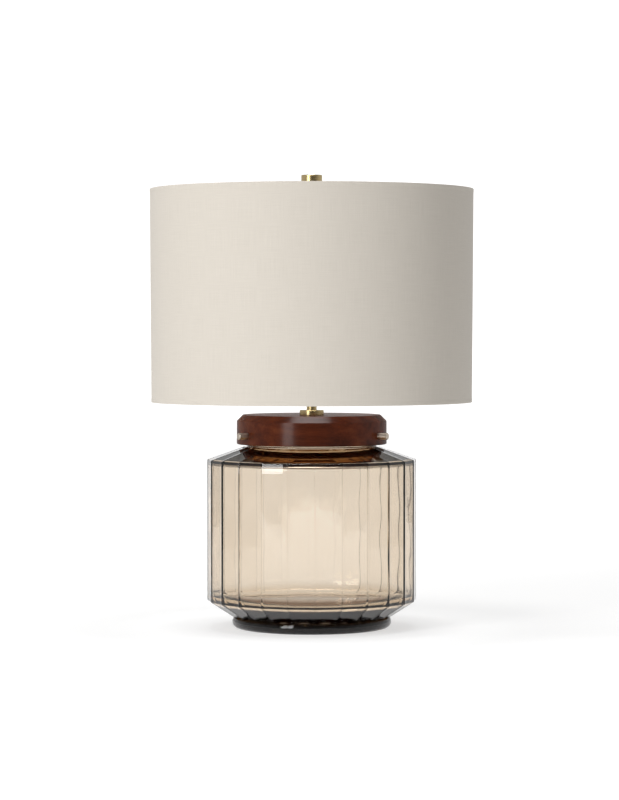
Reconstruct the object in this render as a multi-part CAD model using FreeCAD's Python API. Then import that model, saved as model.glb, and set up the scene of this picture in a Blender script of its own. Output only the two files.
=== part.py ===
import FreeCAD, Part
import math
import os

# Table lamp: a faceted glass jar with a clamped wooden lid carries a brass neck, a lamp holder with
# its bulb, a harp, and a fabric drum shade held down by a brass finial.
# Millimetres, +Z up, front towards -Y, origin on the table under the middle of the lamp.

# ---------------------------------------------------------------- driving dimensions
# Clearances
SEAT_GAP = 0.05          # between pieces that sit on or in each other
TURN_GAP = 0.10          # between flat faces that turn or slide past each other
SLIDE_GAP = 0.30         # between round pieces that screw or slide through each other
CUT_OVER = 1.0           # how far a cutting shape runs past what it cuts

# Glass jar
JAR_FACETS = 24
JAR_CORNER_R = 130.7     # axis to the upright edges
JAR_BODY_H = 176.8       # upright part of the facets
JAR_WALL = 4.5
CHAMFER_TOP_Z = 34.4     # where the lower slope meets the upright facets
FOOT_R = 100.3           # widest radius of the foot bead
FOOT_BEAD_R = 7.7        # radius of the bead's round section
FOOT_STEP = 3.4          # how far the slope starts inside the bead
FOOT_JOIN_RISE = 5.0     # height of that start above the bead's middle
CONTACT_W = 16.6         # width of the flat ring that stands on the table
PUNT_RISE = 3.0          # hollow under the base
PUNT_BOW = 0.75          # share of that rise left halfway out
BASE_T = 29.0            # glass in the middle of the base
SHOULDER_RISE = 16.1
SHOULDER_LEDGE = 3.8     # flat step between the shoulder and the neck
CEILING_RISE = 4.0       # the hollow's ceiling, from the side in to the mouth
NECK_R = 81.0
NECK_H = 21.7            # shoulder to rim
NECK_WALL = 6.5
RIM_BEAD_H = 4.0
RIM_BEAD_OUT = 0.5       # bead standing out from the neck
GROOVE_DEPTH = 2.5       # groove under the bead where the clamp screws press
NECK_BAND_R = 0.9        # half-round band low on the neck
NECK_BAND_RISE = 1.9

# Wooden lid
LID_GAP = 3.2            # shoulder to lid
LID_FIT = 1.8            # rim bead to the lid's recess
LID_SKIRT_T = 10.9
LID_CHAMFER = 7.7
LID_FILLET = 1.2
LID_TOP_PLATE = 8.25
GASKET_T = 1.5
GASKET_INSET = 1.0       # gasket short of the jar's mouth
CHAMBER_LEDGE = 2.5      # lid standing inside the jar's mouth
CHAMBER_H = 8.5          # hollow above the rim where the lead runs

# Clamp screws
CLAMP_ANGLES = {"left": 210.0, "right": 330.0, "rear": 90.0}
CLAMP_HEAD_R = 4.25
CLAMP_HEAD_OUT = 12.5    # head standing out of the lid
CLAMP_HEAD_CHAMFER = 0.5
CLAMP_SHANK_R = 2.5
CLAMP_TIP_L = 2.5
HEAD_POCKET_DEPTH = 3.2
BUSH_WALL = 1.35

# Lead inlet
INLET_ANGLE = 120.0
INLET_BORE_R = 3.2
INLET_WALL = 0.75
INLET_FLANGE_T = 1.2
INLET_FLANGE_OUT = 0.45
INLET_LENGTH = 11.9
INLET_SPOT_DEPTH = 0.3
INLET_WEB = 0.35         # wood between the recess and the inlet hole

# Pipe, washer, nut, flange and neck tube
PIPE_R = 5.1
PIPE_BORE_R = 3.6
PIPE_BELOW_NUT = 2.0
PIPE_INTO_CAP = 4.8
WASHER_R = 19.0
WASHER_T = 1.6
NUT_FLATS = 15.9
NUT_H = 4.0
FLANGE_R = 15.25
FLANGE_T = 5.6
FLANGE_CHAMFER = 0.5
TUBE_WALL = 1.2
TUBE_LENGTH = 38.6
TUBE_SEAT = 1.5          # depth of the tube's seat in the flange

# Harp
HARP_HEIGHT = 228.6      # saddle seat to spider seat
HARP_HALF_WIDTH = 57.0
HARP_WIRE_R = 1.6
HARP_FOOT_RISE = 2.0     # wire's end above the saddle's strip
HARP_LEG_UP = 45.0       # straight legs above the saddle
HARP_SIDE_LOW = 82.0     # sides run upright from here
HARP_SIDE_HIGH = 152.0   # to here, above the saddle
HARP_TOP_HALF = 16.0
HARP_BEND_LOW = 40.0
HARP_BEND_SIDE = 60.0
HARP_BEND_TOP = 14.0
SADDLE_T = 1.6
SADDLE_W = 12.0
SADDLE_DISC_R = 11.0
SADDLE_ARM_CLEAR = 4.1   # lamp holder to the upright arms
SADDLE_ARM_W = 5.0
SADDLE_ARM_H = 15.0
SLEEVE_WALL = 0.75
SLEEVE_RISE = 1.0        # sleeve above the saddle's strip
SLEEVE_H = 14.0
SWIVEL_R = 6.5
SWIVEL_UNDER = 1.4       # metal under the wire
SWIVEL_OVER = 2.8        # and over it
STUD_R = 3.175
STUD_H = 19.5

# Lamp holder
CAP_WALL = 0.8
CAP_FLOOR_T = 0.96       # upright thickness of the cup's floor and cone
CAP_BOSS_WALL = 2.85
CAP_BOSS_H = 4.2
CAP_CONE_H = 5.4
CAP_RIM_H = 11.0
SHELL_H = 42.0
SHELL_WALL = 0.6
SHELL_HOLE_GAP = 0.6     # round the switch stem
SLEEVE_INSET = 1.0       # card sleeve short of the shell at each end
CARD_T = 0.6
BODY_H = 17.5
BODY_WAIST_R = 10.5
BODY_WAIST_H = 10.0
SCREW_SHELL_H = 22.0
SCREW_SHELL_WALL = 0.6
SCREW_SHELL_LEDGE = 1.25  # body standing out round the screw shell
LEAF_T = 0.8
LEAF_RISE = 1.6
LEAF_W = 6.0
LEAF_X = 4.0             # riser's distance from the axis
LEAF_FOOT_L = 5.0
LEAF_TONGUE_L = 9.0
TERMINAL_R = 2.6
TERMINAL_H = 2.4
TERMINAL_SLOT = 0.7
SWITCH_STEM_R = 2.0
STEM_INNER_Y = -5.25     # inner end of the stem, in front of the axis
SWITCH_OVER_CAP = 1.0    # stem above the cap's rim
SWITCH_STEM_OUT = 12.0   # stem outside the shell
SWITCH_KNOB_R = 5.2
SWITCH_KNOB_L = 13.0
SWITCH_KNOB_SEAT = 7.8   # length of stem inside the knob
KNOB_FLUTES = 12
KNOB_FLUTE_R = 0.6
GRUB_R = 1.5
GRUB_RISE = 2.1          # above the cap's lower face

# Bulb
BULB_CAP_R = 12.95
BULB_CAP_H = 23.0
BULB_CAP_WALL = 0.4
BULB_CAP_EDGE = 1.5      # bevel round the cap's lower edge
BULB_CAP_INNER_EDGE = 1.7
BULB_CAP_LIP = 2.0       # cap's turned-in lip stands off the tip contact
BULB_TIP_R = 4.6
BULB_TIP_H = 1.0
BULB_TIP_BEVEL = 1.0
BULB_INSULATOR_H = 2.4
BULB_INSULATOR_INSET = 2.5  # cone's wide end inside the cap's outer radius
BULB_R = 30.15
BULB_LENGTH = 110.0      # tip contact to the top of the glass
BULB_CEMENT = 0.25       # cement between the cap and the glass
BULB_GLASS_T = 0.9
BULB_NECK_ANGLE = 35.0   # where the round of the globe turns into the neck
BULB_NECK_IN_CAP = 6.0
STEM_R = 4.0
STEM_TIP_R = 2.0
STEM_H = 30.0
STEM_FOOT_RISE = 4.0     # stem's foot above the cap's lower end
STEM_FOOT_GAP = 4.0      # foot inside the cap's outer radius
STEM_FLARE_H = 8.0
FILAMENT_R = 0.9
FILAMENT_H = 26.0
FILAMENT_COUNT = 4
FILAMENT_STAND_OFF = 2.7  # strips from the stem
FILAMENT_FIRST_ANGLE = 45.0

# Shade
SHADE_TOP_R = 203.2
SHADE_BOTTOM_R = 201.6
SHADE_H = 266.7
SHADE_RECESS = 10.9      # spider seat below the top rim
FABRIC_T = 0.7
LINER_T = 0.6
LINER_INSET = 1.4        # liner short of the fabric at each rim
RING_R = 1.5             # section of the wire rings
RING_GAP = 0.2           # ring to liner
SPIDER_ARMS = 3
SPIDER_ARM_R = 1.6
SPIDER_FIRST_ANGLE = 90.0
SPIDER_BEND = 8.0        # arms turn up to the ring this far inside it
SPIDER_BEND_R = 12.0
ARM_INTO_HUB = 2.5
SPIDER_HUB_R = 12.5
SPIDER_HUB_T = 1.8
HUB_HOLE_GAP = 0.45

# Finial
FINIAL_R = 13.15
FINIAL_H = 25.9
FINIAL_CHAMFER = 0.6
INSERT_WALL = 2.3
INSERT_BASE_RISE = 0.6
INSERT_OVER_STUD = 2.0
FELT_R = 9.0
FELT_T = 1.0
FELT_CLEAR = 0.5         # arms cut back round the washer

# ---------------------------------------------------------------- levels and mating sizes
FACET_COS = math.cos(math.pi / JAR_FACETS)
JAR_FLAT_R = JAR_CORNER_R * FACET_COS
BODY_TOP_Z = CHAMFER_TOP_Z + JAR_BODY_H
SHOULDER_Z = BODY_TOP_Z + SHOULDER_RISE
SHOULDER_R = NECK_R + SHOULDER_LEDGE
RIM_Z = SHOULDER_Z + NECK_H
NECK_INNER_R = NECK_R - NECK_WALL
RIM_BEAD_R = NECK_R + RIM_BEAD_OUT
GROOVE_R = NECK_R - GROOVE_DEPTH
GROOVE_TOP_Z = RIM_Z - RIM_BEAD_H
CLAMP_TIP_R = CLAMP_SHANK_R - TURN_GAP
CLAMP_Z = GROOVE_TOP_Z - RIM_BEAD_OUT - SLIDE_GAP - CLAMP_TIP_R
GROOVE_LOW_Z = 2 * CLAMP_Z - GROOVE_TOP_Z
FLOOR_Z = PUNT_RISE + BASE_T

LID_LOW_Z = SHOULDER_Z + LID_GAP
RECESS_R = RIM_BEAD_R + LID_FIT
LID_R = RECESS_R + LID_SKIRT_T
RECESS_Z = RIM_Z + GASKET_T + SEAT_GAP
CHAMBER_R = NECK_INNER_R - CHAMBER_LEDGE
CHAMBER_Z = RECESS_Z + CHAMBER_H
LID_TOP_Z = CHAMBER_Z + LID_TOP_PLATE
PIPE_HOLE_R = PIPE_R + SEAT_GAP

BUSH_BORE_R = CLAMP_SHANK_R + TURN_GAP
BUSH_R = BUSH_BORE_R + BUSH_WALL
HEAD_POCKET_R = CLAMP_HEAD_R + SLIDE_GAP
BUSH_OUTER_X = LID_R - HEAD_POCKET_DEPTH
HEAD_INNER_X = BUSH_OUTER_X + 2 * SLIDE_GAP
TIP_INNER_X = GROOVE_R + SLIDE_GAP
TIP_OUTER_X = TIP_INNER_X + CLAMP_TIP_L

INLET_BUSH_R = INLET_BORE_R + INLET_WALL
INLET_HOLE_R = INLET_BUSH_R + SEAT_GAP
INLET_FLANGE_R = INLET_BUSH_R + INLET_FLANGE_OUT
INLET_Z = RECESS_Z + INLET_WEB + INLET_HOLE_R
INLET_FACE_X = LID_R - INLET_SPOT_DEPTH

NUT_TOP_Z = CHAMBER_Z - WASHER_T - 2 * SEAT_GAP
FLANGE_TOP_Z = LID_TOP_Z + SEAT_GAP + FLANGE_T
TUBE_R = PIPE_HOLE_R + TUBE_WALL
TUBE_LOW_Z = FLANGE_TOP_Z - TUBE_SEAT + SEAT_GAP
SADDLE_Z = TUBE_LOW_Z + TUBE_LENGTH + SEAT_GAP
CAP_Z = SADDLE_Z + SADDLE_T + SEAT_GAP
PIPE_TOP_Z = CAP_Z + PIPE_INTO_CAP
PIPE_LOW_Z = NUT_TOP_Z - NUT_H - PIPE_BELOW_NUT

SCREW_SHELL_BORE_R = BULB_CAP_R + SLIDE_GAP
SCREW_SHELL_R = SCREW_SHELL_BORE_R + SCREW_SHELL_WALL
BODY_R = SCREW_SHELL_R + SCREW_SHELL_LEDGE
CARD_R = BODY_R + 2 * SEAT_GAP + CARD_T
SHELL_R = CARD_R + 2 * SEAT_GAP + SHELL_WALL
CAP_R = SHELL_R + 2 * SEAT_GAP + CAP_WALL
CAP_BOSS_R = PIPE_HOLE_R + CAP_BOSS_WALL
CAP_CONE_Z = CAP_Z + CAP_BOSS_H
CAP_RIM_Z = CAP_CONE_Z + CAP_CONE_H
CAP_TOP_Z = CAP_RIM_Z + CAP_RIM_H
SHELL_Z = CAP_RIM_Z + 2 * SHELL_WALL
SHELL_TOP_Z = SHELL_Z + SHELL_H
BODY_Z = SHELL_Z + 2 * SLEEVE_INSET
BODY_TOP = BODY_Z + BODY_H
SCREW_SHELL_Z = BODY_TOP + SEAT_GAP
BULB_TIP_Z = BODY_TOP + LEAF_T + LEAF_RISE + SLIDE_GAP
SWITCH_Z = CAP_TOP_Z + SWITCH_STEM_R + SWITCH_OVER_CAP
STEM_TIP_Y = -(SHELL_R + SWITCH_STEM_OUT)

SADDLE_ARM_X = CAP_R + SADDLE_ARM_CLEAR
HARP_LEG_X = SADDLE_ARM_X + SADDLE_T + SEAT_GAP + HARP_WIRE_R
HARP_LEG_Z = SADDLE_Z + SADDLE_T + HARP_FOOT_RISE
SPIDER_SEAT_Z = SADDLE_Z + HARP_HEIGHT
HARP_TOP_Z = SPIDER_SEAT_Z - SWIVEL_OVER - HARP_WIRE_R
SLEEVE_X = (SADDLE_ARM_X + HARP_LEG_X + HARP_WIRE_R) / 2
SLEEVE_BORE_R = math.hypot(HARP_LEG_X + HARP_WIRE_R - SLEEVE_X, SADDLE_ARM_W / 2) + SLIDE_GAP
SLEEVE_Z = SADDLE_Z + SADDLE_T + SLEEVE_RISE

BULB_NECK_R = BULB_CAP_R - BULB_CAP_WALL - BULB_CEMENT
BULB_INSULATOR_Z = BULB_TIP_Z + BULB_TIP_H
BULB_CAP_Z = BULB_INSULATOR_Z + BULB_INSULATOR_H
BULB_CAP_TOP_Z = BULB_CAP_Z + BULB_CAP_H
GLOBE_Z = BULB_TIP_Z + BULB_LENGTH - BULB_R

HUB_Z = SPIDER_SEAT_Z + TURN_GAP
SHADE_TOP_Z = HUB_Z + SHADE_RECESS
SHADE_LOW_Z = SHADE_TOP_Z - SHADE_H
FELT_Z = HUB_Z + SPIDER_HUB_T + SEAT_GAP
FINIAL_Z = FELT_Z + FELT_T + TURN_GAP
INSERT_BORE_R = STUD_R + TURN_GAP
INSERT_R = INSERT_BORE_R + INSERT_WALL
INSERT_Z = FINIAL_Z + INSERT_BASE_RISE
STUD_TOP_Z = SPIDER_SEAT_Z + STUD_H
INSERT_TOP_Z = STUD_TOP_Z + INSERT_OVER_STUD

UP = FreeCAD.Vector(0, 0, 1)
OUTWARD = FreeCAD.Vector(1, 0, 0)
FRONT = FreeCAD.Vector(0, -1, 0)
BACK = FreeCAD.Vector(0, 1, 0)
ORIGIN = FreeCAD.Vector(0, 0, 0)


# ---------------------------------------------------------------- helpers
def at(r, z):
    """Point of a half section: radius along X, height along Z."""
    return FreeCAD.Vector(r, 0, z)


def line(start, end):
    """Straight edge between two half-section points."""
    return Part.LineSegment(at(*start), at(*end)).toShape()


def arc(start, middle, end):
    """Round edge through three half-section points."""
    return Part.Arc(at(*start), at(*middle), at(*end)).toShape()


def turned_from(edges):
    """Solid of revolution about Z from the edges of a closed half section."""
    face = Part.Face(Part.Wire(edges))
    return face.revolve(ORIGIN, UP, 360)


def turned(points):
    """Solid of revolution about Z from the corners of a closed half section."""
    ends = points[1:] + points[:1]
    return turned_from([line(start, end) for start, end in zip(points, ends)])


def tube(outer_r, inner_r, low, high):
    """Upright tube or ring."""
    return turned([(inner_r, low), (outer_r, low), (outer_r, high), (inner_r, high)])


def rod(radius, low, high):
    """Upright round bar."""
    return Part.makeCylinder(radius, high - low, at(0, low))


def radial_rod(radius, inner_x, outer_x, height):
    """Round bar lying along +X at a height."""
    return Part.makeCylinder(radius, outer_x - inner_x, at(inner_x, height), OUTWARD)


def swung(shape, angle):
    """Copy of a shape turned about the lamp's axis by an angle in degrees."""
    copy = shape.copy()
    copy.rotate(ORIGIN, UP, angle)
    return copy


def facet_ring(flat_r, z):
    """Closed polygon with the jar's facets, one corner at the front."""
    corner_r = flat_r / FACET_COS
    corners = []
    for index in range(JAR_FACETS):
        angle = 2 * math.pi * index / JAR_FACETS - math.pi / 2
        corners.append(FreeCAD.Vector(corner_r * math.cos(angle), corner_r * math.sin(angle), z))
    return Part.makePolygon(corners + corners[:1])


def faceted(levels):
    """Solid with flat facets between polygons given as (flat radius, height)."""
    rings = [facet_ring(flat_r, z) for flat_r, z in levels]
    return Part.makeLoft(rings, True, True)


def rounded_path(points, radii):
    """Straight runs in the XZ plane joined by tangent arcs of the given radii."""
    edges = []
    start = points[0]
    for before, corner, after, radius in zip(points, points[1:], points[2:], radii):
        back = (before - corner).normalize()
        ahead = (after - corner).normalize()
        half_turn = (math.pi - back.getAngle(ahead)) / 2
        tangent = radius * math.tan(half_turn)
        arc_start = corner + back * tangent
        arc_end = corner + ahead * tangent
        bisector = (back + ahead).normalize()
        middle = corner + bisector * (radius / math.cos(half_turn) - radius)
        edges.append(Part.LineSegment(start, arc_start).toShape())
        edges.append(Part.Arc(arc_start, middle, arc_end).toShape())
        start = arc_end
    edges.append(Part.LineSegment(start, points[-1]).toShape())
    return Part.Wire(edges)


def wire_along(path, radius):
    """Round wire swept along a path."""
    first = path.Edges[0]
    start = first.valueAt(first.FirstParameter)
    direction = first.tangentAt(first.FirstParameter)
    section = Part.Wire(Part.makeCircle(radius, start, direction))
    return path.makePipeShell([section], True, False)


def hexagon_bar(flats, low, high):
    """Upright hexagonal bar, flats given across."""
    corner_r = flats / math.sqrt(3)
    corners = []
    for index in range(6):
        angle = math.pi * index / 3
        corners.append(FreeCAD.Vector(corner_r * math.cos(angle), corner_r * math.sin(angle), low))
    face = Part.Face(Part.makePolygon(corners + corners[:1]))
    return face.extrude(UP * (high - low))


# ---------------------------------------------------------------- glass jar
def jar_outside():
    """Faceted outside of the jar, from inside the foot bead to the shoulder's top."""
    join_r = FOOT_R - FOOT_STEP
    join_z = FOOT_BEAD_R + FOOT_JOIN_RISE
    slope = (JAR_CORNER_R - join_r) / (CHAMFER_TOP_Z - join_z)
    start_r = join_r - slope * FOOT_JOIN_RISE
    levels = [(start_r * FACET_COS, FOOT_BEAD_R), (JAR_FLAT_R, CHAMFER_TOP_Z),
              (JAR_FLAT_R, BODY_TOP_Z), (SHOULDER_R * FACET_COS, SHOULDER_Z)]
    return levels


def jar_inside(outside):
    """Faceted hollow: sides one wall thick, thick base, shoulder thickening to the neck."""
    (low_r, low_z), (side_r, side_z), (_, shoulder_z), (top_r, top_z) = outside
    inner_r = side_r - JAR_WALL
    low_slope = (side_r - low_r) / (side_z - low_z)
    low_shift = JAR_WALL * math.hypot(low_slope, 1)
    floor_r = low_r + low_slope * (FLOOR_Z - low_z) - low_shift
    corner_z = FLOOR_Z + (inner_r - floor_r) / low_slope
    top_slope = (top_z - shoulder_z) / (side_r - top_r)
    top_shift = JAR_WALL * math.hypot(top_slope, 1)
    under_side_z = shoulder_z + top_slope * JAR_WALL - top_shift
    return [(floor_r, FLOOR_Z), (inner_r, corner_z), (inner_r, under_side_z),
            (NECK_INNER_R, under_side_z + CEILING_RISE)]


def foot():
    """Solid glass base: flat standing ring, hollow middle and a round bead outside."""
    bead_x = FOOT_R - FOOT_BEAD_R
    contact_inner = bead_x - CONTACT_W
    bead_top = (bead_x, 2 * FOOT_BEAD_R)
    return turned_from([
        arc((0, PUNT_RISE), (contact_inner / 2, PUNT_RISE * PUNT_BOW), (contact_inner, 0)),
        line((contact_inner, 0), (bead_x, 0)),
        arc((bead_x, 0), (FOOT_R, FOOT_BEAD_R), bead_top),
        line(bead_top, (0, 2 * FOOT_BEAD_R)),
        line((0, 2 * FOOT_BEAD_R), (0, PUNT_RISE)),
    ])


def neck():
    """Round neck with a low band, the clamp groove and the rim bead."""
    band_z = SHOULDER_Z + NECK_BAND_RISE
    band_low = (NECK_R, band_z - NECK_BAND_R)
    band_high = (NECK_R, band_z + NECK_BAND_R)
    bead_edge = RIM_BEAD_OUT
    root = (NECK_INNER_R, SHOULDER_Z - JAR_WALL)
    points = [band_high, (NECK_R, GROOVE_LOW_Z), (GROOVE_R, GROOVE_LOW_Z + bead_edge),
              (GROOVE_R, GROOVE_TOP_Z - bead_edge), (RIM_BEAD_R, GROOVE_TOP_Z),
              (RIM_BEAD_R, RIM_Z - bead_edge), (RIM_BEAD_R - bead_edge, RIM_Z),
              (NECK_INNER_R, RIM_Z), root, (NECK_R, SHOULDER_Z - JAR_WALL), band_low]
    edges = [line(start, end) for start, end in zip(points, points[1:])]
    edges.append(arc(band_low, (NECK_R + NECK_BAND_R, band_z), band_high))
    return turned_from(edges)


def glass_jar():
    """Jar with upright flat facets, sloping shoulder, round neck and thick base."""
    outside = jar_outside()
    hollow = faceted(jar_inside(outside))
    mouth = rod(NECK_INNER_R, BODY_TOP_Z - JAR_WALL, RIM_Z + CUT_OVER)
    jar = faceted(outside).fuse([foot(), neck()])
    return jar.cut(hollow.fuse(mouth)).removeSplitter()


# ---------------------------------------------------------------- wooden lid and its fittings
def lid_gasket():
    """Flat ring between the jar's rim and the lid."""
    inner_r = NECK_INNER_R + GASKET_INSET
    return tube(NECK_R, inner_r, RIM_Z + SEAT_GAP / 2, RECESS_Z - SEAT_GAP / 2)


def lid_blank():
    """Turned lid: chamfered top edge, recess for the rim and a hollow for the lead."""
    slant = LID_FILLET * (1 - math.sqrt(0.5))
    low_corner = (LID_R - LID_FILLET, LID_LOW_Z)
    side_corner = (LID_R, LID_LOW_Z + LID_FILLET)
    points = [side_corner, (LID_R, LID_TOP_Z - LID_CHAMFER), (LID_R - LID_CHAMFER, LID_TOP_Z),
              (PIPE_HOLE_R, LID_TOP_Z), (PIPE_HOLE_R, CHAMBER_Z), (CHAMBER_R, CHAMBER_Z),
              (CHAMBER_R, RECESS_Z), (RECESS_R, RECESS_Z), (RECESS_R, LID_LOW_Z), low_corner]
    edges = [line(start, end) for start, end in zip(points, points[1:])]
    edges.append(arc(low_corner, (LID_R - slant, LID_LOW_Z + slant), side_corner))
    return turned_from(edges)


def wooden_lid():
    """Lid with its clamp screw holes and lead inlet hole."""
    lid = lid_blank()
    bush_hole = radial_rod(BUSH_R + SEAT_GAP, RECESS_R - CUT_OVER, LID_R, CLAMP_Z)
    pocket = radial_rod(HEAD_POCKET_R, BUSH_OUTER_X, LID_R + CUT_OVER, CLAMP_Z)
    for angle in CLAMP_ANGLES.values():
        lid = lid.cut(swung(bush_hole.fuse(pocket), angle))
    outer_x = LID_R + CUT_OVER
    inlet_hole = radial_rod(INLET_HOLE_R, CHAMBER_R - 2 * CUT_OVER, outer_x, INLET_Z)
    spot = radial_rod(INLET_FLANGE_R + SEAT_GAP, INLET_FACE_X, outer_x, INLET_Z)
    return lid.cut(swung(inlet_hole.fuse(spot), INLET_ANGLE))


def clamp_bushes():
    """Threaded bushes let into the lid, one for each clamp screw."""
    outer = radial_rod(BUSH_R, RECESS_R + SLIDE_GAP, BUSH_OUTER_X, CLAMP_Z)
    bore = radial_rod(BUSH_BORE_R, RECESS_R, BUSH_OUTER_X + CUT_OVER, CLAMP_Z)
    bush = outer.cut(bore)
    return Part.makeCompound([swung(bush, angle) for angle in CLAMP_ANGLES.values()])


def clamp_screw(angle):
    """Screw with a plain round head, chamfered at its outer end."""
    outer_x = LID_R + CLAMP_HEAD_OUT
    head = radial_rod(CLAMP_HEAD_R, HEAD_INNER_X, outer_x, CLAMP_Z)
    rims = [edge for edge in head.Edges if abs(edge.BoundBox.XMin - outer_x) < SEAT_GAP]
    head = head.makeChamfer(CLAMP_HEAD_CHAMFER, rims)
    shank = radial_rod(CLAMP_SHANK_R, TIP_OUTER_X + SEAT_GAP, HEAD_INNER_X + CUT_OVER, CLAMP_Z)
    return swung(head.fuse(shank).removeSplitter(), angle)


def clamp_tip(angle):
    """Soft pad between a clamp screw and the glass."""
    return swung(radial_rod(CLAMP_TIP_R, TIP_INNER_X, TIP_OUTER_X, CLAMP_Z), angle)


def cord_inlet_bush():
    """Flanged bush where the lead would enter the lid."""
    inner_x = INLET_FACE_X - INLET_LENGTH
    outer_x = INLET_FACE_X + INLET_FLANGE_T
    sleeve = radial_rod(INLET_BUSH_R, inner_x, outer_x, INLET_Z)
    flange = radial_rod(INLET_FLANGE_R, INLET_FACE_X, outer_x, INLET_Z)
    bore = radial_rod(INLET_BORE_R, inner_x - CUT_OVER, outer_x + CUT_OVER, INLET_Z)
    return swung(sleeve.fuse(flange).cut(bore).removeSplitter(), INLET_ANGLE)


# ---------------------------------------------------------------- neck hardware
def lid_washer():
    """Wide steel washer under the lid."""
    return tube(WASHER_R, PIPE_HOLE_R, NUT_TOP_Z + SEAT_GAP, NUT_TOP_Z + SEAT_GAP + WASHER_T)


def lock_nut():
    """Hexagonal nut that draws the pipe tight."""
    bar = hexagon_bar(NUT_FLATS, NUT_TOP_Z - NUT_H, NUT_TOP_Z)
    return bar.cut(rod(PIPE_HOLE_R, NUT_TOP_Z - NUT_H - CUT_OVER, NUT_TOP_Z + CUT_OVER))


def threaded_pipe():
    """Hollow pipe from under the lid to the lamp holder."""
    return tube(PIPE_R, PIPE_BORE_R, PIPE_LOW_Z, PIPE_TOP_Z)


def brass_flange():
    """Round brass seat on the lid, bored for the pipe and recessed for the neck tube."""
    low = LID_TOP_Z + SEAT_GAP
    seat_z = FLANGE_TOP_Z - TUBE_SEAT
    seat_r = TUBE_R + SEAT_GAP
    return turned([(PIPE_HOLE_R, low), (FLANGE_R, low), (FLANGE_R, FLANGE_TOP_Z - FLANGE_CHAMFER),
                   (FLANGE_R - FLANGE_CHAMFER, FLANGE_TOP_Z), (seat_r, FLANGE_TOP_Z),
                   (seat_r, seat_z), (PIPE_HOLE_R, seat_z)])


def neck_tube():
    """Brass tube that hides the pipe and carries the saddle."""
    return tube(TUBE_R, PIPE_HOLE_R, TUBE_LOW_Z, TUBE_LOW_Z + TUBE_LENGTH)


# ---------------------------------------------------------------- harp
def harp_saddle():
    """Flat strip with two upright arms, clamped under the lamp holder."""
    outer_x = SADDLE_ARM_X + SADDLE_T
    disc = rod(SADDLE_DISC_R, SADDLE_Z, SADDLE_Z + SADDLE_T)
    strip = Part.makeBox(2 * outer_x, SADDLE_W, SADDLE_T,
                         FreeCAD.Vector(-outer_x, -SADDLE_W / 2, SADDLE_Z))
    saddle = disc.fuse(strip)
    for side_x in (SADDLE_ARM_X, -outer_x):
        corner = FreeCAD.Vector(side_x, -SADDLE_ARM_W / 2, SADDLE_Z)
        saddle = saddle.fuse(Part.makeBox(SADDLE_T, SADDLE_ARM_W, SADDLE_ARM_H, corner))
    saddle = saddle.cut(rod(PIPE_HOLE_R, SADDLE_Z - CUT_OVER, SADDLE_Z + SADDLE_T + CUT_OVER))
    return saddle.removeSplitter()


def harp_path():
    """Line of the harp's wire from the left foot over the top to the right foot."""
    right = [at(HARP_LEG_X, HARP_LEG_Z), at(HARP_LEG_X, SADDLE_Z + HARP_LEG_UP),
             at(HARP_HALF_WIDTH, SADDLE_Z + HARP_SIDE_LOW),
             at(HARP_HALF_WIDTH, SADDLE_Z + HARP_SIDE_HIGH), at(HARP_TOP_HALF, HARP_TOP_Z)]
    left = [FreeCAD.Vector(-point.x, 0, point.z) for point in right]
    bends = [HARP_BEND_LOW, HARP_BEND_SIDE, HARP_BEND_SIDE, HARP_BEND_TOP]
    return rounded_path(left + right[::-1], bends + bends[::-1])


def harp_wire():
    """Bent wire hoop around the bulb."""
    return wire_along(harp_path(), HARP_WIRE_R)


def harp_swivel():
    """Boss on top of the harp with the threaded stud for the finial."""
    low = HARP_TOP_Z - HARP_WIRE_R - SWIVEL_UNDER
    boss = rod(SWIVEL_R, low, SPIDER_SEAT_Z)
    stud = rod(STUD_R, SPIDER_SEAT_Z - CUT_OVER, STUD_TOP_Z)
    reach = SWIVEL_R + CUT_OVER
    eye = radial_rod(HARP_WIRE_R + SEAT_GAP, -reach, reach, HARP_TOP_Z)
    return boss.fuse(stud).cut(eye).removeSplitter()


def harp_sleeve(side):
    """Sleeve that locks one harp leg to its saddle arm."""
    sleeve = tube(SLEEVE_BORE_R + SLEEVE_WALL, SLEEVE_BORE_R, SLEEVE_Z, SLEEVE_Z + SLEEVE_H)
    sleeve.translate(FreeCAD.Vector(side * SLEEVE_X, 0, 0))
    return sleeve


# ---------------------------------------------------------------- lamp holder
def socket_cap():
    """Cup at the bottom of the lamp holder, screwed on the pipe."""
    inner_r = CAP_R - CAP_WALL
    cup = turned([(PIPE_HOLE_R, CAP_Z), (CAP_BOSS_R, CAP_Z), (CAP_BOSS_R, CAP_CONE_Z),
                  (CAP_R, CAP_RIM_Z), (CAP_R, CAP_TOP_Z), (inner_r, CAP_TOP_Z),
                  (inner_r, CAP_RIM_Z + CAP_WALL / 2), (CAP_BOSS_R, CAP_CONE_Z + CAP_FLOOR_T),
                  (PIPE_HOLE_R, CAP_CONE_Z + CAP_FLOOR_T)])
    grub_hole = Part.makeCylinder(GRUB_R + SEAT_GAP, CAP_R, at(0, CAP_Z + GRUB_RISE), BACK)
    return cup.cut(grub_hole)


def cap_grub_screw():
    """Set screw that stops the holder turning on its pipe."""
    start = FreeCAD.Vector(0, PIPE_R + SEAT_GAP, CAP_Z + GRUB_RISE)
    return Part.makeCylinder(GRUB_R, CAP_BOSS_WALL - SEAT_GAP, start, BACK)


def stem_hole(clearance):
    """Round cut for the switch stem, through the front of the holder."""
    start = FreeCAD.Vector(0, -BODY_WAIST_R, SWITCH_Z)
    return Part.makeCylinder(SWITCH_STEM_R + clearance, CAP_R, start, FRONT)


def socket_shell():
    """Brass shell with a rolled top edge."""
    shell = tube(SHELL_R, SHELL_R - SHELL_WALL, SHELL_Z, SHELL_TOP_Z)
    roll = Part.makeTorus(SHELL_R - SHELL_WALL / 2, SHELL_WALL, at(0, SHELL_TOP_Z))
    return shell.fuse(roll).cut(stem_hole(SHELL_HOLE_GAP)).removeSplitter()


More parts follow.
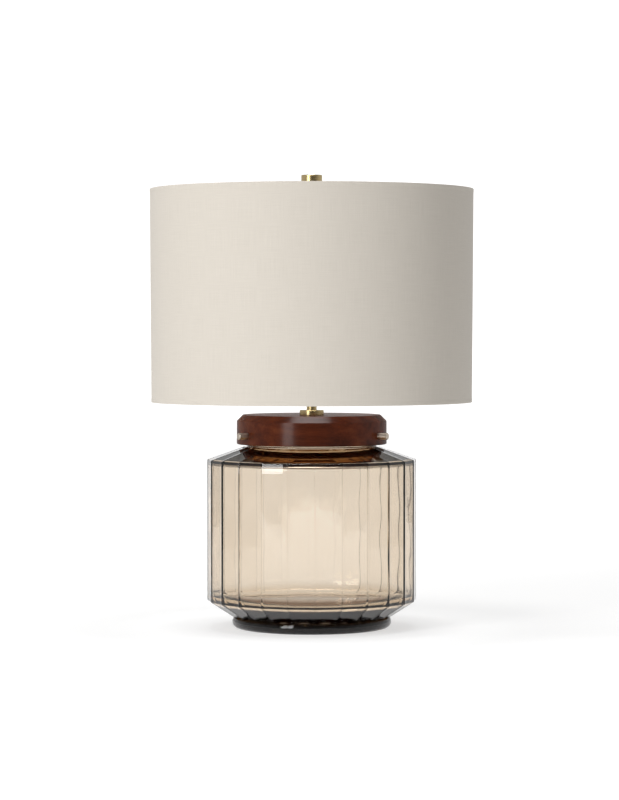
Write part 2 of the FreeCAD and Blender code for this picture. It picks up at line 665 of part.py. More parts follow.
def insulating_sleeve():
    """Card sleeve between the shell and the live parts."""
    card = tube(CARD_R, CARD_R - CARD_T, SHELL_Z + SLEEVE_INSET, SHELL_TOP_Z - SLEEVE_INSET)
    return card.cut(stem_hole(SHELL_HOLE_GAP))


def socket_body():
    """Moulded body that holds the switch, the terminals and the screw shell."""
    waist_z = BODY_Z + BODY_WAIST_H
    body = turned([(0, BODY_Z), (BODY_WAIST_R, BODY_Z), (BODY_WAIST_R, waist_z),
                   (BODY_R, waist_z), (BODY_R, BODY_TOP), (0, BODY_TOP)])
    start = FreeCAD.Vector(0, STEM_INNER_Y + SLIDE_GAP, SWITCH_Z)
    stem_bore = Part.makeCylinder(SWITCH_STEM_R + TURN_GAP, 2 * CAP_R, start, FRONT)
    return body.cut(stem_bore)


def terminal_screws():
    """Two slotted brass terminal screws on the body's waist."""
    middle_z = BODY_Z + BODY_WAIST_H / 2
    face_x = BODY_WAIST_R + TERMINAL_H
    head = radial_rod(TERMINAL_R, BODY_WAIST_R + SEAT_GAP, face_x, middle_z)
    corner = FreeCAD.Vector(face_x - TERMINAL_SLOT, -2 * TERMINAL_R, middle_z - TERMINAL_SLOT / 2)
    slot = Part.makeBox(2 * TERMINAL_SLOT, 4 * TERMINAL_R, TERMINAL_SLOT, corner)
    return Part.makeCompound([swung(head.cut(slot), angle) for angle in (0, 180)])


def screw_shell():
    """Aluminium shell that the bulb's cap screws into."""
    return tube(SCREW_SHELL_R, SCREW_SHELL_BORE_R, SCREW_SHELL_Z, SCREW_SHELL_Z + SCREW_SHELL_H)


def centre_contact():
    """Brass leaf under the bulb's tip: a foot, a riser and a raised tongue."""
    low = BODY_TOP + SEAT_GAP
    tongue_z = BODY_TOP + LEAF_RISE
    side_y = -LEAF_W / 2
    foot_leaf = Part.makeBox(LEAF_FOOT_L, LEAF_W, LEAF_T,
                             FreeCAD.Vector(LEAF_X, side_y, low))
    riser = Part.makeBox(LEAF_T, LEAF_W, tongue_z + LEAF_T - low,
                         FreeCAD.Vector(LEAF_X, side_y, low))
    tongue = Part.makeBox(LEAF_TONGUE_L, LEAF_W, LEAF_T,
                          FreeCAD.Vector(LEAF_X + LEAF_T - LEAF_TONGUE_L, side_y, tongue_z))
    return foot_leaf.fuse([riser, tongue]).removeSplitter()


def switch_stem():
    """Turning stem of the switch."""
    start = FreeCAD.Vector(0, STEM_INNER_Y, SWITCH_Z)
    return Part.makeCylinder(SWITCH_STEM_R, STEM_INNER_Y - STEM_TIP_Y, start, FRONT)


def switch_knob():
    """Fluted knob on the switch stem, slightly smaller at its outer end."""
    start = FreeCAD.Vector(0, STEM_TIP_Y + SWITCH_KNOB_SEAT, SWITCH_Z)
    knob = Part.makeCone(SWITCH_KNOB_R, SWITCH_KNOB_R - KNOB_FLUTE_R, SWITCH_KNOB_L, start, FRONT)
    cuts = [Part.makeCylinder(SWITCH_STEM_R + SEAT_GAP, SWITCH_KNOB_SEAT + SEAT_GAP, start, FRONT)]
    for index in range(KNOB_FLUTES):
        angle = 2 * math.pi * index / KNOB_FLUTES
        offset = FreeCAD.Vector(math.cos(angle), 0, math.sin(angle)) * SWITCH_KNOB_R
        cuts.append(Part.makeCylinder(KNOB_FLUTE_R, SWITCH_KNOB_L + CUT_OVER, start + offset, FRONT))
    return knob.cut(cuts)


# ---------------------------------------------------------------- bulb
def bulb_cap():
    """Screw cap of the bulb, open below for the insulator."""
    inner_r = BULB_CAP_R - BULB_CAP_WALL
    lip = BULB_TIP_R + BULB_CAP_LIP
    low = BULB_CAP_Z
    return turned([(lip, low), (BULB_CAP_R - BULB_CAP_EDGE, low),
                   (BULB_CAP_R, low + BULB_CAP_EDGE), (BULB_CAP_R, BULB_CAP_TOP_Z),
                   (inner_r, BULB_CAP_TOP_Z), (inner_r, low + BULB_CAP_INNER_EDGE),
                   (BULB_CAP_R - BULB_CAP_INNER_EDGE, low + BULB_CAP_WALL),
                   (lip, low + BULB_CAP_WALL)])


def bulb_insulator():
    """Black glass cone between the cap and the tip contact."""
    top = BULB_CAP_Z - SEAT_GAP
    low = BULB_INSULATOR_Z + SEAT_GAP
    return turned([(0, low), (BULB_TIP_R, low), (BULB_CAP_R - BULB_INSULATOR_INSET, top), (0, top)])


def bulb_tip_contact():
    """Contact button at the bottom of the bulb."""
    return turned([(0, BULB_TIP_Z), (BULB_TIP_R - BULB_TIP_BEVEL, BULB_TIP_Z),
                   (BULB_TIP_R, BULB_INSULATOR_Z), (0, BULB_INSULATOR_Z)])


def globe_outline(inset):
    """Corner points and arc middles of the bulb's glass, set in by a distance."""
    angle = math.radians(BULB_NECK_ANGLE)
    globe_r = BULB_R - inset
    neck_r = BULB_NECK_R - inset
    throat_r = (BULB_R * math.cos(angle) - BULB_NECK_R) / (1 - math.cos(angle))
    reach = BULB_R + throat_r
    throat_x = reach * math.cos(angle)
    throat_z = GLOBE_Z - reach * math.sin(angle)
    inner_throat = throat_r + inset
    half = math.radians(90 + BULB_NECK_ANGLE) / 2 - angle
    return {
        "top": (0, GLOBE_Z + globe_r),
        "side": (globe_r * math.cos(half), GLOBE_Z + globe_r * math.sin(half)),
        "join": (globe_r * math.cos(angle), GLOBE_Z - globe_r * math.sin(angle)),
        "throat": (throat_x - inner_throat * math.cos(angle / 2),
                   throat_z + inner_throat * math.sin(angle / 2)),
        "neck": (neck_r, throat_z),
        "end": (neck_r, BULB_CAP_TOP_Z - BULB_NECK_IN_CAP),
    }


def bulb_glass():
    """Thin glass globe drawn down to a neck that sits in the cap."""
    outer = globe_outline(0)
    inner = globe_outline(BULB_GLASS_T)
    return turned_from([
        arc(outer["top"], outer["side"], outer["join"]),
        arc(outer["join"], outer["throat"], outer["neck"]),
        line(outer["neck"], outer["end"]),
        line(outer["end"], inner["end"]),
        line(inner["end"], inner["neck"]),
        arc(inner["neck"], inner["throat"], inner["join"]),
        arc(inner["join"], inner["side"], inner["top"]),
        line(inner["top"], outer["top"]),
    ])


def bulb_stem():
    """Glass stem inside the bulb, flared at its foot."""
    low = BULB_CAP_Z + STEM_FOOT_RISE
    top = BULB_CAP_TOP_Z + STEM_H
    return turned([(0, low), (BULB_CAP_R - STEM_FOOT_GAP, low), (STEM_R, low + STEM_FLARE_H),
                   (STEM_TIP_R, top), (0, top)])


def bulb_filaments():
    """Light strips standing around the stem."""
    low = BULB_CAP_TOP_Z + STEM_H - FILAMENT_H
    strips = []
    for index in range(FILAMENT_COUNT):
        strip = rod(FILAMENT_R, low, low + FILAMENT_H)
        strip.translate(FreeCAD.Vector(STEM_R + FILAMENT_STAND_OFF, 0, 0))
        strips.append(swung(strip, FILAMENT_FIRST_ANGLE + 360.0 * index / FILAMENT_COUNT))
    return Part.makeCompound(strips)


# ---------------------------------------------------------------- shade
def shade_r(z):
    """Outer radius of the shade's fabric at a height."""
    share = (z - SHADE_LOW_Z) / SHADE_H
    return SHADE_BOTTOM_R + share * (SHADE_TOP_R - SHADE_BOTTOM_R)


def shade_skin(inset, thickness, low, high):
    """Upright skin that follows the shade's slight taper."""
    outer_low = shade_r(low) - inset
    outer_high = shade_r(high) - inset
    return turned([(outer_low - thickness, low), (outer_low, low), (outer_high, high),
                   (outer_high - thickness, high)])


def ring_radius(z):
    """Radius of a wire ring that lies inside the liner."""
    return shade_r(z) - FABRIC_T - LINER_T - RING_R - RING_GAP


def shade_fabric():
    """Outer cloth of the drum."""
    return shade_skin(0, FABRIC_T, SHADE_LOW_Z, SHADE_TOP_Z)


def shade_liner():
    """Stiff white liner behind the cloth."""
    inset = FABRIC_T + 2 * SEAT_GAP
    return shade_skin(inset, LINER_T, SHADE_LOW_Z + LINER_INSET, SHADE_TOP_Z - LINER_INSET)


def top_frame():
    """Top ring with three arms welded to the hub that sits on the harp."""
    ring_z = SHADE_TOP_Z - LINER_INSET - RING_R
    ring_r = ring_radius(ring_z)
    arm_z = HUB_Z + SPIDER_HUB_T / 2
    frame = tube(SPIDER_HUB_R, STUD_R + HUB_HOLE_GAP, HUB_Z, HUB_Z + SPIDER_HUB_T)
    frame = frame.fuse(Part.makeTorus(ring_r, RING_R, at(0, ring_z)))
    points = [at(SPIDER_HUB_R - ARM_INTO_HUB, arm_z), at(ring_r - SPIDER_BEND, arm_z),
              at(ring_r, ring_z)]
    arm = wire_along(rounded_path(points, [SPIDER_BEND_R]), SPIDER_ARM_R)
    hub_top_z = HUB_Z + SPIDER_HUB_T
    keep_clear = rod(SPIDER_HUB_R, HUB_Z - SPIDER_ARM_R, HUB_Z)
    keep_clear = keep_clear.fuse(rod(FELT_R + FELT_CLEAR, hub_top_z, hub_top_z + 2 * SPIDER_ARM_R))
    for index in range(SPIDER_ARMS):
        frame = frame.fuse(swung(arm, SPIDER_FIRST_ANGLE + 360.0 * index / SPIDER_ARMS))
    return frame.cut(keep_clear).removeSplitter()


def bottom_ring():
    """Wire ring in the shade's lower edge."""
    ring_z = SHADE_LOW_Z + LINER_INSET + RING_R
    return Part.makeTorus(ring_radius(ring_z), RING_R, at(0, ring_z))


# ---------------------------------------------------------------- finial
def finial_washer():
    """Thin fibre washer under the finial."""
    return tube(FELT_R, STUD_R + HUB_HOLE_GAP, FELT_Z, FELT_Z + FELT_T)


def finial_insert():
    """Threaded insert inside the finial."""
    return tube(INSERT_R, INSERT_BORE_R, INSERT_Z, INSERT_TOP_Z)


def finial_knob():
    """Plain round brass knob with fine chamfers, bored from below for its insert."""
    top = FINIAL_Z + FINIAL_H
    bore_r = INSERT_R + SEAT_GAP
    edge = FINIAL_CHAMFER
    return turned([(bore_r, FINIAL_Z), (FINIAL_R - edge, FINIAL_Z), (FINIAL_R, FINIAL_Z + edge),
                   (FINIAL_R, top - edge), (FINIAL_R - edge, top), (0, top),
                   (0, INSERT_TOP_Z + SEAT_GAP), (bore_r, INSERT_TOP_Z + SEAT_GAP)])


# ---------------------------------------------------------------- all pieces
def all_pieces():
    """Every node of the lamp by name."""
    pieces = {
        "glass_jar": glass_jar(),
        "lid_gasket": lid_gasket(),
        "wooden_lid": wooden_lid(),
        "clamp_bushes": clamp_bushes(),
        "cord_inlet_bush": cord_inlet_bush(),
        "lid_washer": lid_washer(),
        "lock_nut": lock_nut(),
        "threaded_pipe": threaded_pipe(),
        "brass_flange": brass_flange(),
        "neck_tube": neck_tube(),
        "harp_saddle": harp_saddle(),
        "harp_wire": harp_wire(),
        "harp_swivel": harp_swivel(),
        "harp_sleeve_left": harp_sleeve(-1),
        "harp_sleeve_right": harp_sleeve(1),
        "socket_cap": socket_cap(),
        "cap_grub_screw": cap_grub_screw(),
        "socket_shell": socket_shell(),
        "insulating_sleeve": insulating_sleeve(),
        "socket_body": socket_body(),
        "terminal_screws": terminal_screws(),
        "screw_shell": screw_shell(),
        "centre_contact": centre_contact(),
        "switch_stem": switch_stem(),
        "switch_knob": switch_knob(),
        "bulb_cap": bulb_cap(),
        "bulb_insulator": bulb_insulator(),
        "bulb_tip_contact": bulb_tip_contact(),
        "bulb_glass": bulb_glass(),
        "bulb_stem": bulb_stem(),
        "bulb_filaments": bulb_filaments(),
        "shade_fabric": shade_fabric(),
        "shade_liner": shade_liner(),
        "shade_top_frame": top_frame(),
        "shade_bottom_ring": bottom_ring(),
        "finial_washer": finial_washer(),
        "finial_insert": finial_insert(),
        "finial_knob": finial_knob(),
    }
    for place, angle in CLAMP_ANGLES.items():
        pieces["clamp_screw_" + place] = clamp_screw(angle)
        pieces["clamp_tip_" + place] = clamp_tip(angle)
    return pieces


os.makedirs("parts", exist_ok=True)
for node, shape in all_pieces().items():
    sound = shape.isValid() and all(solid.Volume > 0 for solid in shape.Solids)
    print(node, len(shape.Solids), "solid", round(shape.Volume), "mm3", "ok" if sound else "FAULT")
    shape.exportStep("parts/" + node + ".step")
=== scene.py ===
# %% [markdown]
# # A table lamp on a smoked glass jar
# This lesson builds the looks of a table lamp round a finished mechanical model. The lamp is a faceted
# jar of smoked glass with a turned wooden lid. Three small screws clamp the lid to the jar. A brass tube
# stands on the lid and carries the lamp holder, and a wire harp carries the drum shade, with a brass
# finial on top. The mechanical model comes first and is never moved. Each piece made here rides on one of
# its bodies, so the lamp still works: the shade turns, the screws travel and the bulb unscrews.

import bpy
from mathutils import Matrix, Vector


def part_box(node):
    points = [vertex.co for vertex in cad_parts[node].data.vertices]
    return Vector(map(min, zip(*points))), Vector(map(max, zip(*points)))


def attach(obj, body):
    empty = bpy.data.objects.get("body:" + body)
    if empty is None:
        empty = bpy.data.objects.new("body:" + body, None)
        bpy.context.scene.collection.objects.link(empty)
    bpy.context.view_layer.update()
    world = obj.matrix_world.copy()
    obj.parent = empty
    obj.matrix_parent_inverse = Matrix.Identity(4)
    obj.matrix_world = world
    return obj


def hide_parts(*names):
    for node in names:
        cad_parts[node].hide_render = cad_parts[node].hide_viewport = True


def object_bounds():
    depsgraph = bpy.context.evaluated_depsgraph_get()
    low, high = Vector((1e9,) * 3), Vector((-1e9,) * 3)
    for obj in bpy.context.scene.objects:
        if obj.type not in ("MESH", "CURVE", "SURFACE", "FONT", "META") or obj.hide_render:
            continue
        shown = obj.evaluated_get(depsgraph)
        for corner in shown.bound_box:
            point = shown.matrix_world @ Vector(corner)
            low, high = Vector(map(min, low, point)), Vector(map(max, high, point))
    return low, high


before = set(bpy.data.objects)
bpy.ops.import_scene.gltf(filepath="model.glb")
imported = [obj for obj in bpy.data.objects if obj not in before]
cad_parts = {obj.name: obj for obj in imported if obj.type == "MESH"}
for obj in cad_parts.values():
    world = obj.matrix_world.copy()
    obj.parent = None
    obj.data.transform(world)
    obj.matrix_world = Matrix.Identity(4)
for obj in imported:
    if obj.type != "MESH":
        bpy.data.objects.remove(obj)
cad_low, cad_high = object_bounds()
print("height of the lamp in metres", round(cad_high.z - cad_low.z, 4))

# %% [markdown]
# ## Small tools for meshes
# Nearly everything on this lamp was turned, moulded or wound round one upright axis. Such a piece could
# be made with the Screw modifier, but its facets, threads and waves would then need more modifiers on
# top. Here a piece is a grid instead: rows follow the outline, columns go round the axis, and one
# function gives the radius.

# %% Ring meshes
import math
import bpy
from mathutils import Vector

MM = 0.001
TURN = 2 * math.pi
POINT_R = 0.01 * MM


def mesh_object(name, points, faces, smooth=True):
    """A new mesh object from points and faces, in metres."""
    mesh = bpy.data.meshes.new(name)
    mesh.from_pydata(points, [], faces)
    mesh.update()
    if smooth:
        mesh.polygons.foreach_set("use_smooth", [True] * len(mesh.polygons))
    piece = bpy.data.objects.new(name, mesh)
    bpy.context.scene.collection.objects.link(piece)
    return piece


def ring_grid(name, rows, angles, radius_at, closed=True):
    """Rows of (radius, height) turned round the axis. A row of no radius is one point, closing the end."""
    points, starts, counts = [], [], []
    for row in rows:
        starts.append(len(points))
        if row[0] < POINT_R:
            points.append((0.0, 0.0, row[1]))
            counts.append(1)
            continue
        counts.append(len(angles))
        for angle in angles:
            r = radius_at(row, angle)
            points.append((r * math.cos(angle), r * math.sin(angle), row[1]))
    faces = []
    pairs = list(range(len(rows) - 1)) + ([-1] if closed else [])
    for index in pairs:
        a, b = starts[index], starts[index + 1]
        many_a, many_b = counts[index], counts[index + 1]
        for k in range(len(angles)):
            n = (k + 1) % len(angles)
            corner = [a + k % many_a, a + n % many_a, b + n % many_b, b + k % many_b]
            faces.append([c for i, c in enumerate(corner) if c not in corner[:i]])
    return mesh_object(name, points, faces)


def even_angles(count):
    """Angles all the way round, evenly spaced."""
    return [TURN * k / count for k in range(count)]


def arc_rows(centre, radius, start, end, steps):
    """Rows along a round part of an outline; angles in degrees from outward, counted upward."""
    rows = []
    for k in range(steps + 1):
        a = math.radians(start + (end - start) * k / steps)
        rows.append((centre[0] + radius * math.cos(a), centre[1] + radius * math.sin(a)))
    return rows


print("tools ready; one millimetre is", MM, "metres")

# %% [markdown]
# ## Small tools for materials
# Every finish is drawn by nodes, so it needs no picture files. Values that are the same all over a surface
# are typed on the shader's own sockets. Only what changes over the surface, such as grain or brushing, is
# wired in. The texture space is the piece's own, in metres, so the pattern stays on the piece as it moves.

# %% Material helpers
def shader(name, **values):
    """A new material with one Principled shader, and the values given for its sockets."""
    made = bpy.data.materials.new(name)
    made.use_nodes = True
    nodes, links = made.node_tree.nodes, made.node_tree.links
    surface = nodes["Principled BSDF"]
    for socket, value in values.items():
        surface.inputs[socket.replace("_", " ")].default_value = value
    return made, nodes, links, surface


def space(nodes, links, scale=(1.0, 1.0, 1.0)):
    """The piece's own coordinates, stretched by scale."""
    coordinates = nodes.new("ShaderNodeTexCoord")
    mapping = nodes.new("ShaderNodeMapping")
    mapping.inputs["Scale"].default_value = scale
    links.new(coordinates.outputs["Object"], mapping.inputs["Vector"])
    return mapping.outputs["Vector"]


def noise(nodes, links, vector, scale, detail=3.0, roughness=0.5):
    """A cloudy pattern; scale is in patches per metre."""
    texture = nodes.new("ShaderNodeTexNoise")
    texture.inputs["Scale"].default_value = scale
    texture.inputs["Detail"].default_value = detail
    texture.inputs["Roughness"].default_value = roughness
    links.new(vector, texture.inputs["Vector"])
    return texture.outputs["Fac"]


def ramp(nodes, links, value, stops):
    """Turns a value into colours: stops are (place, colour)."""
    node = nodes.new("ShaderNodeValToRGB")
    first, last = node.color_ramp.elements[0], node.color_ramp.elements[1]
    first.position, first.color = stops[0][0], (*stops[0][1], 1)
    last.position, last.color = stops[-1][0], (*stops[-1][1], 1)
    for place, colour in stops[1:-1]:
        node.color_ramp.elements.new(place).color = (*colour, 1)
    links.new(value, node.inputs["Fac"])
    return node.outputs["Color"]


def spread(nodes, links, value, low, high):
    """Maps a pattern from 0..1 to low..high."""
    node = nodes.new("ShaderNodeMapRange")
    node.inputs["To Min"].default_value = low
    node.inputs["To Max"].default_value = high
    links.new(value, node.inputs["Value"])
    return node.outputs["Result"]


def combine(nodes, links, kind, first, second):
    """One step of arithmetic on two values."""
    node = nodes.new("ShaderNodeMath")
    node.operation = kind
    for socket, value in zip(node.inputs, (first, second)):
        if isinstance(value, (int, float)):
            socket.default_value = value
        else:
            links.new(value, socket)
    return node.outputs["Value"]


def relief(nodes, links, surface, height, depth, strength=1.0):
    """Fine relief; depth in metres."""
    node = nodes.new("ShaderNodeBump")
    node.inputs["Strength"].default_value = strength
    node.inputs["Distance"].default_value = depth
    links.new(height, node.inputs["Height"])
    links.new(node.outputs["Normal"], surface.inputs["Normal"])


def paint(material, *names):
    """Gives CAD nodes a finish, by assigning to their material slots."""
    for name in names:
        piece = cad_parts[name]
        if not piece.material_slots:
            piece.data.materials.append(material)
        for material_slot in piece.material_slots:
            material_slot.material = material


print("helpers for", len(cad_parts), "nodes")

# %% [markdown]
# ## The camera
# The lamp is seen almost straight on, from a little above the jar's lid, and from far away, so that its
# upright lines stay parallel. A long lens at three and a half metres does that. The camera stands a little
# to the left, which turns the front edge of the glass slightly to the right.

# %% Camera
CAMERA_DISTANCE = 3.516
CAMERA_HEIGHT = 0.376
CAMERA_SIDE_TURN = math.radians(1.8)
CAMERA_DOWN = math.radians(1.473)
CAMERA_AIM_LEFT = math.radians(0.045)
LENS_MM = 126.0
SENSOR_MM = 36.0

camera_data = bpy.data.cameras.new("camera")
camera_data.sensor_width = SENSOR_MM
camera_data.lens = LENS_MM
camera = bpy.data.objects.new("camera", camera_data)
bpy.context.scene.collection.objects.link(camera)
camera.location = (-CAMERA_DISTANCE * math.sin(CAMERA_SIDE_TURN),
                   -CAMERA_DISTANCE * math.cos(CAMERA_SIDE_TURN), CAMERA_HEIGHT)
camera.rotation_euler = (math.pi / 2 - CAMERA_DOWN, 0.0, -CAMERA_SIDE_TURN + CAMERA_AIM_LEFT)
bpy.context.scene.camera = camera
print("camera at", [round(v, 3) for v in camera.location])

# %% [markdown]
# ## The floor
# Clear glass shows what stands behind it. A studio lights it with a bright field: the background is bright
# and the sides stay darker, so that the glass is light in the middle and its edges draw themselves as dark
# lines. The floor takes part in that. It is a light table: a pale sheet that also glows. A plain white
# floor under lamps would be bright near the lights and grey further off, with a strong shadow. The glow
# evens that out. It is weakest round the lamp, where the lights are strongest, and grows towards the front
# and the back.

# %% Floor
FLOOR_HALF_WIDTH = 1.4
FLOOR_FRONT = -2.4
FLOOR_BACK = 6.0
FLOOR_PALE = (0.45, 0.45, 0.45, 1)
GLOW_FRONT = 0.95
GLOW_NEAR = 0.60
GLOW_FAR = 0.90
GLOW_FROM_Y = -1.0
GLOW_TO_Y = 2.5
NEAR_SHARE = 0.26
FLOOR_GRAIN = 6.0
FLOOR_RELIEF = 0.2 * MM
FLOOR_GAP = 0.02 * MM

floor_paint, nodes, links, surface = shader("floor_paint", Base_Color=FLOOR_PALE, Roughness=0.9)
surface.inputs["Specular IOR Level"].default_value = 0.1
surface.inputs["Emission Color"].default_value = (1, 1, 1, 1)
floor_parts = nodes.new("ShaderNodeSeparateXYZ")
links.new(space(nodes, links), floor_parts.inputs["Vector"])
front_to_back = spread(nodes, links, floor_parts.outputs["Y"], low=0.0, high=1.0)
front_to_back.node.inputs["From Min"].default_value = GLOW_FROM_Y
front_to_back.node.inputs["From Max"].default_value = GLOW_TO_Y
glow = ramp(nodes, links, front_to_back,
            [(0.0, (GLOW_FRONT,) * 3), (NEAR_SHARE, (GLOW_NEAR,) * 3), (1.0, (GLOW_FAR,) * 3)])
links.new(glow, surface.inputs["Emission Strength"])
floor_pattern = noise(nodes, links, space(nodes, links), FLOOR_GRAIN)
relief(nodes, links, surface, floor_pattern, FLOOR_RELIEF)
floor = mesh_object("floor", [(-FLOOR_HALF_WIDTH, FLOOR_FRONT, 0), (FLOOR_HALF_WIDTH, FLOOR_FRONT, 0),
                              (FLOOR_HALF_WIDTH, FLOOR_BACK, 0), (-FLOOR_HALF_WIDTH, FLOOR_BACK, 0)],
                    [(0, 1, 2, 3)], smooth=False)
floor.location.z = cad_low.z - FLOOR_GAP
floor.data.materials.append(floor_paint)
print("floor", 2 * FLOOR_HALF_WIDTH, "metres wide")

# %% [markdown]
# ## The sky
# The sky is the studio's walls and ceiling in one. A picture of a real studio could light the scene, but a
# few greys in a ramp are enough and need no file. It is white in a narrow band behind the lamp, mid grey at
# the sides, and nearly dark in front and above, so that the glass and the lid have dark things to reflect.

# %% Sky
SKY_BEHIND = 1.25
SKY_SIDE = 0.62
SKY_FRONT = 0.10
SKY_ABOVE = 0.20
SIDE_STARTS = 0.45
SIDE_ENDS = 0.979
BEHIND_STARTS = 0.987

world = bpy.data.worlds.new("studio")
bpy.context.scene.world = world
world.use_nodes = True
nodes, links = world.node_tree.nodes, world.node_tree.links
background = nodes["Background"]
direction = nodes.new("ShaderNodeTexCoord")
parts = nodes.new("ShaderNodeSeparateXYZ")
links.new(direction.outputs["Generated"], parts.inputs["Vector"])
to_behind = spread(nodes, links, parts.outputs["Y"], low=0.0, high=1.0)
to_behind.node.inputs["From Min"].default_value = -1.0
greys = [(0.0, (SKY_FRONT,) * 3), (SIDE_STARTS, (SKY_SIDE,) * 3),
         (SIDE_ENDS, (SKY_SIDE,) * 3), (BEHIND_STARTS, (SKY_BEHIND,) * 3)]
round_the_lamp = ramp(nodes, links, to_behind, greys)
height_mix = nodes.new("ShaderNodeMix")
height_mix.data_type = "RGBA"
links.new(spread(nodes, links, parts.outputs["Z"], low=0.0, high=1.0), height_mix.inputs["Factor"])
links.new(round_the_lamp, height_mix.inputs["A"])
height_mix.inputs["B"].default_value = (SKY_ABOVE, SKY_ABOVE, SKY_ABOVE, 1)
links.new(height_mix.outputs["Result"], background.inputs["Color"])
bpy.context.scene.view_settings.view_transform = "Standard"
print("sky set; brightest behind the lamp at", SKY_BEHIND)

# %% [markdown]
# ## The two soft lights
# A tall soft light stands at the front left and gives the shade its slow fall from light to dark. It is also
# the upright highlight on the lid. A second one hangs overhead and lights the inside of the shade. Area
# lights are used because their size sets how soft the shadows and how wide the highlights are.

# %% Lights
LAMP_MIDDLE = Vector((0.0, 0.0, 0.33))
KEY_TURN = -38
KEY_DISTANCE = 2.6
KEY_HEIGHT = 1.25
KEY_SIZE = (0.8, 2.45)
KEY_WATTS = 45
TOP_PLACE = (-0.1, -0.1, 2.6)
TOP_SIZE = (1.0, 1.2)
TOP_WATTS = 29


def soft_light(name, place, aim, size, watts):
    """A rectangular soft light at place, facing aim."""
    data = bpy.data.lights.new(name, "AREA")
    data.shape = "RECTANGLE"
    data.size, data.size_y = size
    data.energy = watts
    light = bpy.data.objects.new(name, data)
    bpy.context.scene.collection.objects.link(light)
    light.location = place
    light.rotation_euler = (aim - Vector(place)).to_track_quat("-Z", "Y").to_euler()
    return light


def round_place(azimuth, distance, height):
    """A place round the lamp; azimuth in degrees from the camera's side, positive to the right."""
    a = math.radians(azimuth)
    return (distance * math.sin(a), -distance * math.cos(a), height)


soft_light("key_light", round_place(KEY_TURN, KEY_DISTANCE, KEY_HEIGHT), LAMP_MIDDLE, KEY_SIZE, KEY_WATTS)
soft_light("top_light", TOP_PLACE, LAMP_MIDDLE, TOP_SIZE, TOP_WATTS)

# %% [markdown]
# ## The glass jar: its outline
# The real jar is pressed in a mould with twenty-four flat panels. The panels run up the lower slope, the
# body and the shoulder, and the neck above is round. A box with bevels would not give those three forms in
# one skin, so one grid follows the whole section: under the base, out round the foot, up the outside, over
# the rim and down the inside. A row says its radius, its height and how much it follows the panels.
# The base is thick, as in any heavy pressed jar, and its inside corner is one large round. The shoulder
# gets thicker towards the neck, because its under side is nearly flat.

# %% Jar sizes
PANELS = 24
jar_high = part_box("glass_jar")[1]
CORNER_R = jar_high.x
WALL = 4.5 * MM
FOOT_R = 100.3 * MM
FOOT_BEAD_R = 7.7 * MM
CONTACT_R = 76.0 * MM
PUNT_RISE = 3.0 * MM
SLOPE_START_R = 96.9 * MM
SLOPE_START_Z = 12.7 * MM
BODY_LOW_Z = 34.4 * MM
BODY_TOP_Z = 211.2 * MM
SHOULDER_R = 84.8 * MM
SHOULDER_Z = 227.3 * MM
NECK_R = 81.0 * MM
NECK_INNER_R = 74.5 * MM
BAND_R = 0.9 * MM
BAND_Z = SHOULDER_Z + 1.9 * MM
GROOVE_R = 78.5 * MM
GROOVE_LOW_Z = 238.6 * MM
GROOVE_TOP_Z = 245.0 * MM
RIM_Z = jar_high.z
BEAD_R = NECK_R + 0.5 * MM
INSIDE_FLOOR_Z = 32.0 * MM
CEILING_RISE = 4.0 * MM
INSIDE_ROUND = 16.0 * MM
EDGE_ROUND = 1.6 * MM
CONTACT_WIDTH = 3.0 * MM
LEDGE_WIDTH = 0.4 * MM
GROOVE_EASE = 0.5 * MM
GROOVE_LIP = 0.2 * MM
RIM_ROUND = 1.2 * MM
NECK_ROOT_ROUND = 3.0 * MM
CEILING_ROUND = 4.0 * MM
PUNT_STEPS = 8
FLOOR_STEPS = 6
print("jar is", round(2 * CORNER_R / MM, 1), "mm over its corners and", round(RIM_Z / MM, 1), "mm high")


# %% Outline tools
def rounded_corner(before, corner, after, radius, steps=5):
    """Rows that round a corner of the outline off; each point is (radius, height)."""
    a, c, b = Vector(before), Vector(corner), Vector(after)
    to_a, to_b = (a - c).normalized(), (b - c).normalized()
    half_angle = to_a.angle(to_b) / 2
    reach = radius / math.tan(half_angle)
    centre = c + (to_a + to_b).normalized() * (radius / math.sin(half_angle))
    start, end = c + to_a * reach - centre, c + to_b * reach - centre
    rows = []
    for k in range(steps + 1):
        share = k / steps
        way = (start * (1 - share) + end * share).normalized()
        rows.append(tuple(centre + way * radius))
    return rows


def straight(start, end, steps):
    """Rows between two points of the outline, ends left out."""
    return [(start[0] + (end[0] - start[0]) * k / steps, start[1] + (end[1] - start[1]) * k / steps)
            for k in range(1, steps)]


def with_share(rows, panels, inside=0.0):
    """Adds to each row how much it follows the panels, and how wavy it is."""
    return [(r, z, panels, inside) for r, z in rows]


print("tools for an outline ready")

# %% [markdown]
# ## The glass jar: its rows
# The outline is written as the mould maker would draw it, from the middle of the base outward. The base is
# hollowed slightly, so that the jar stands on a ring and cannot rock. The foot is a round bead. The neck
# has a fine band at its root, a groove that the clamp screws reach into, and a rounded rim. Then the rows
# come back down inside, one wall thickness in.

# %% Jar outline
foot_middle_r = FOOT_R - FOOT_BEAD_R
slope_start = (SLOPE_START_R, SLOPE_START_Z)
body_low = (CORNER_R, BODY_LOW_Z)
body_top = (CORNER_R, BODY_TOP_Z)
shoulder_top = (SHOULDER_R, SHOULDER_Z)

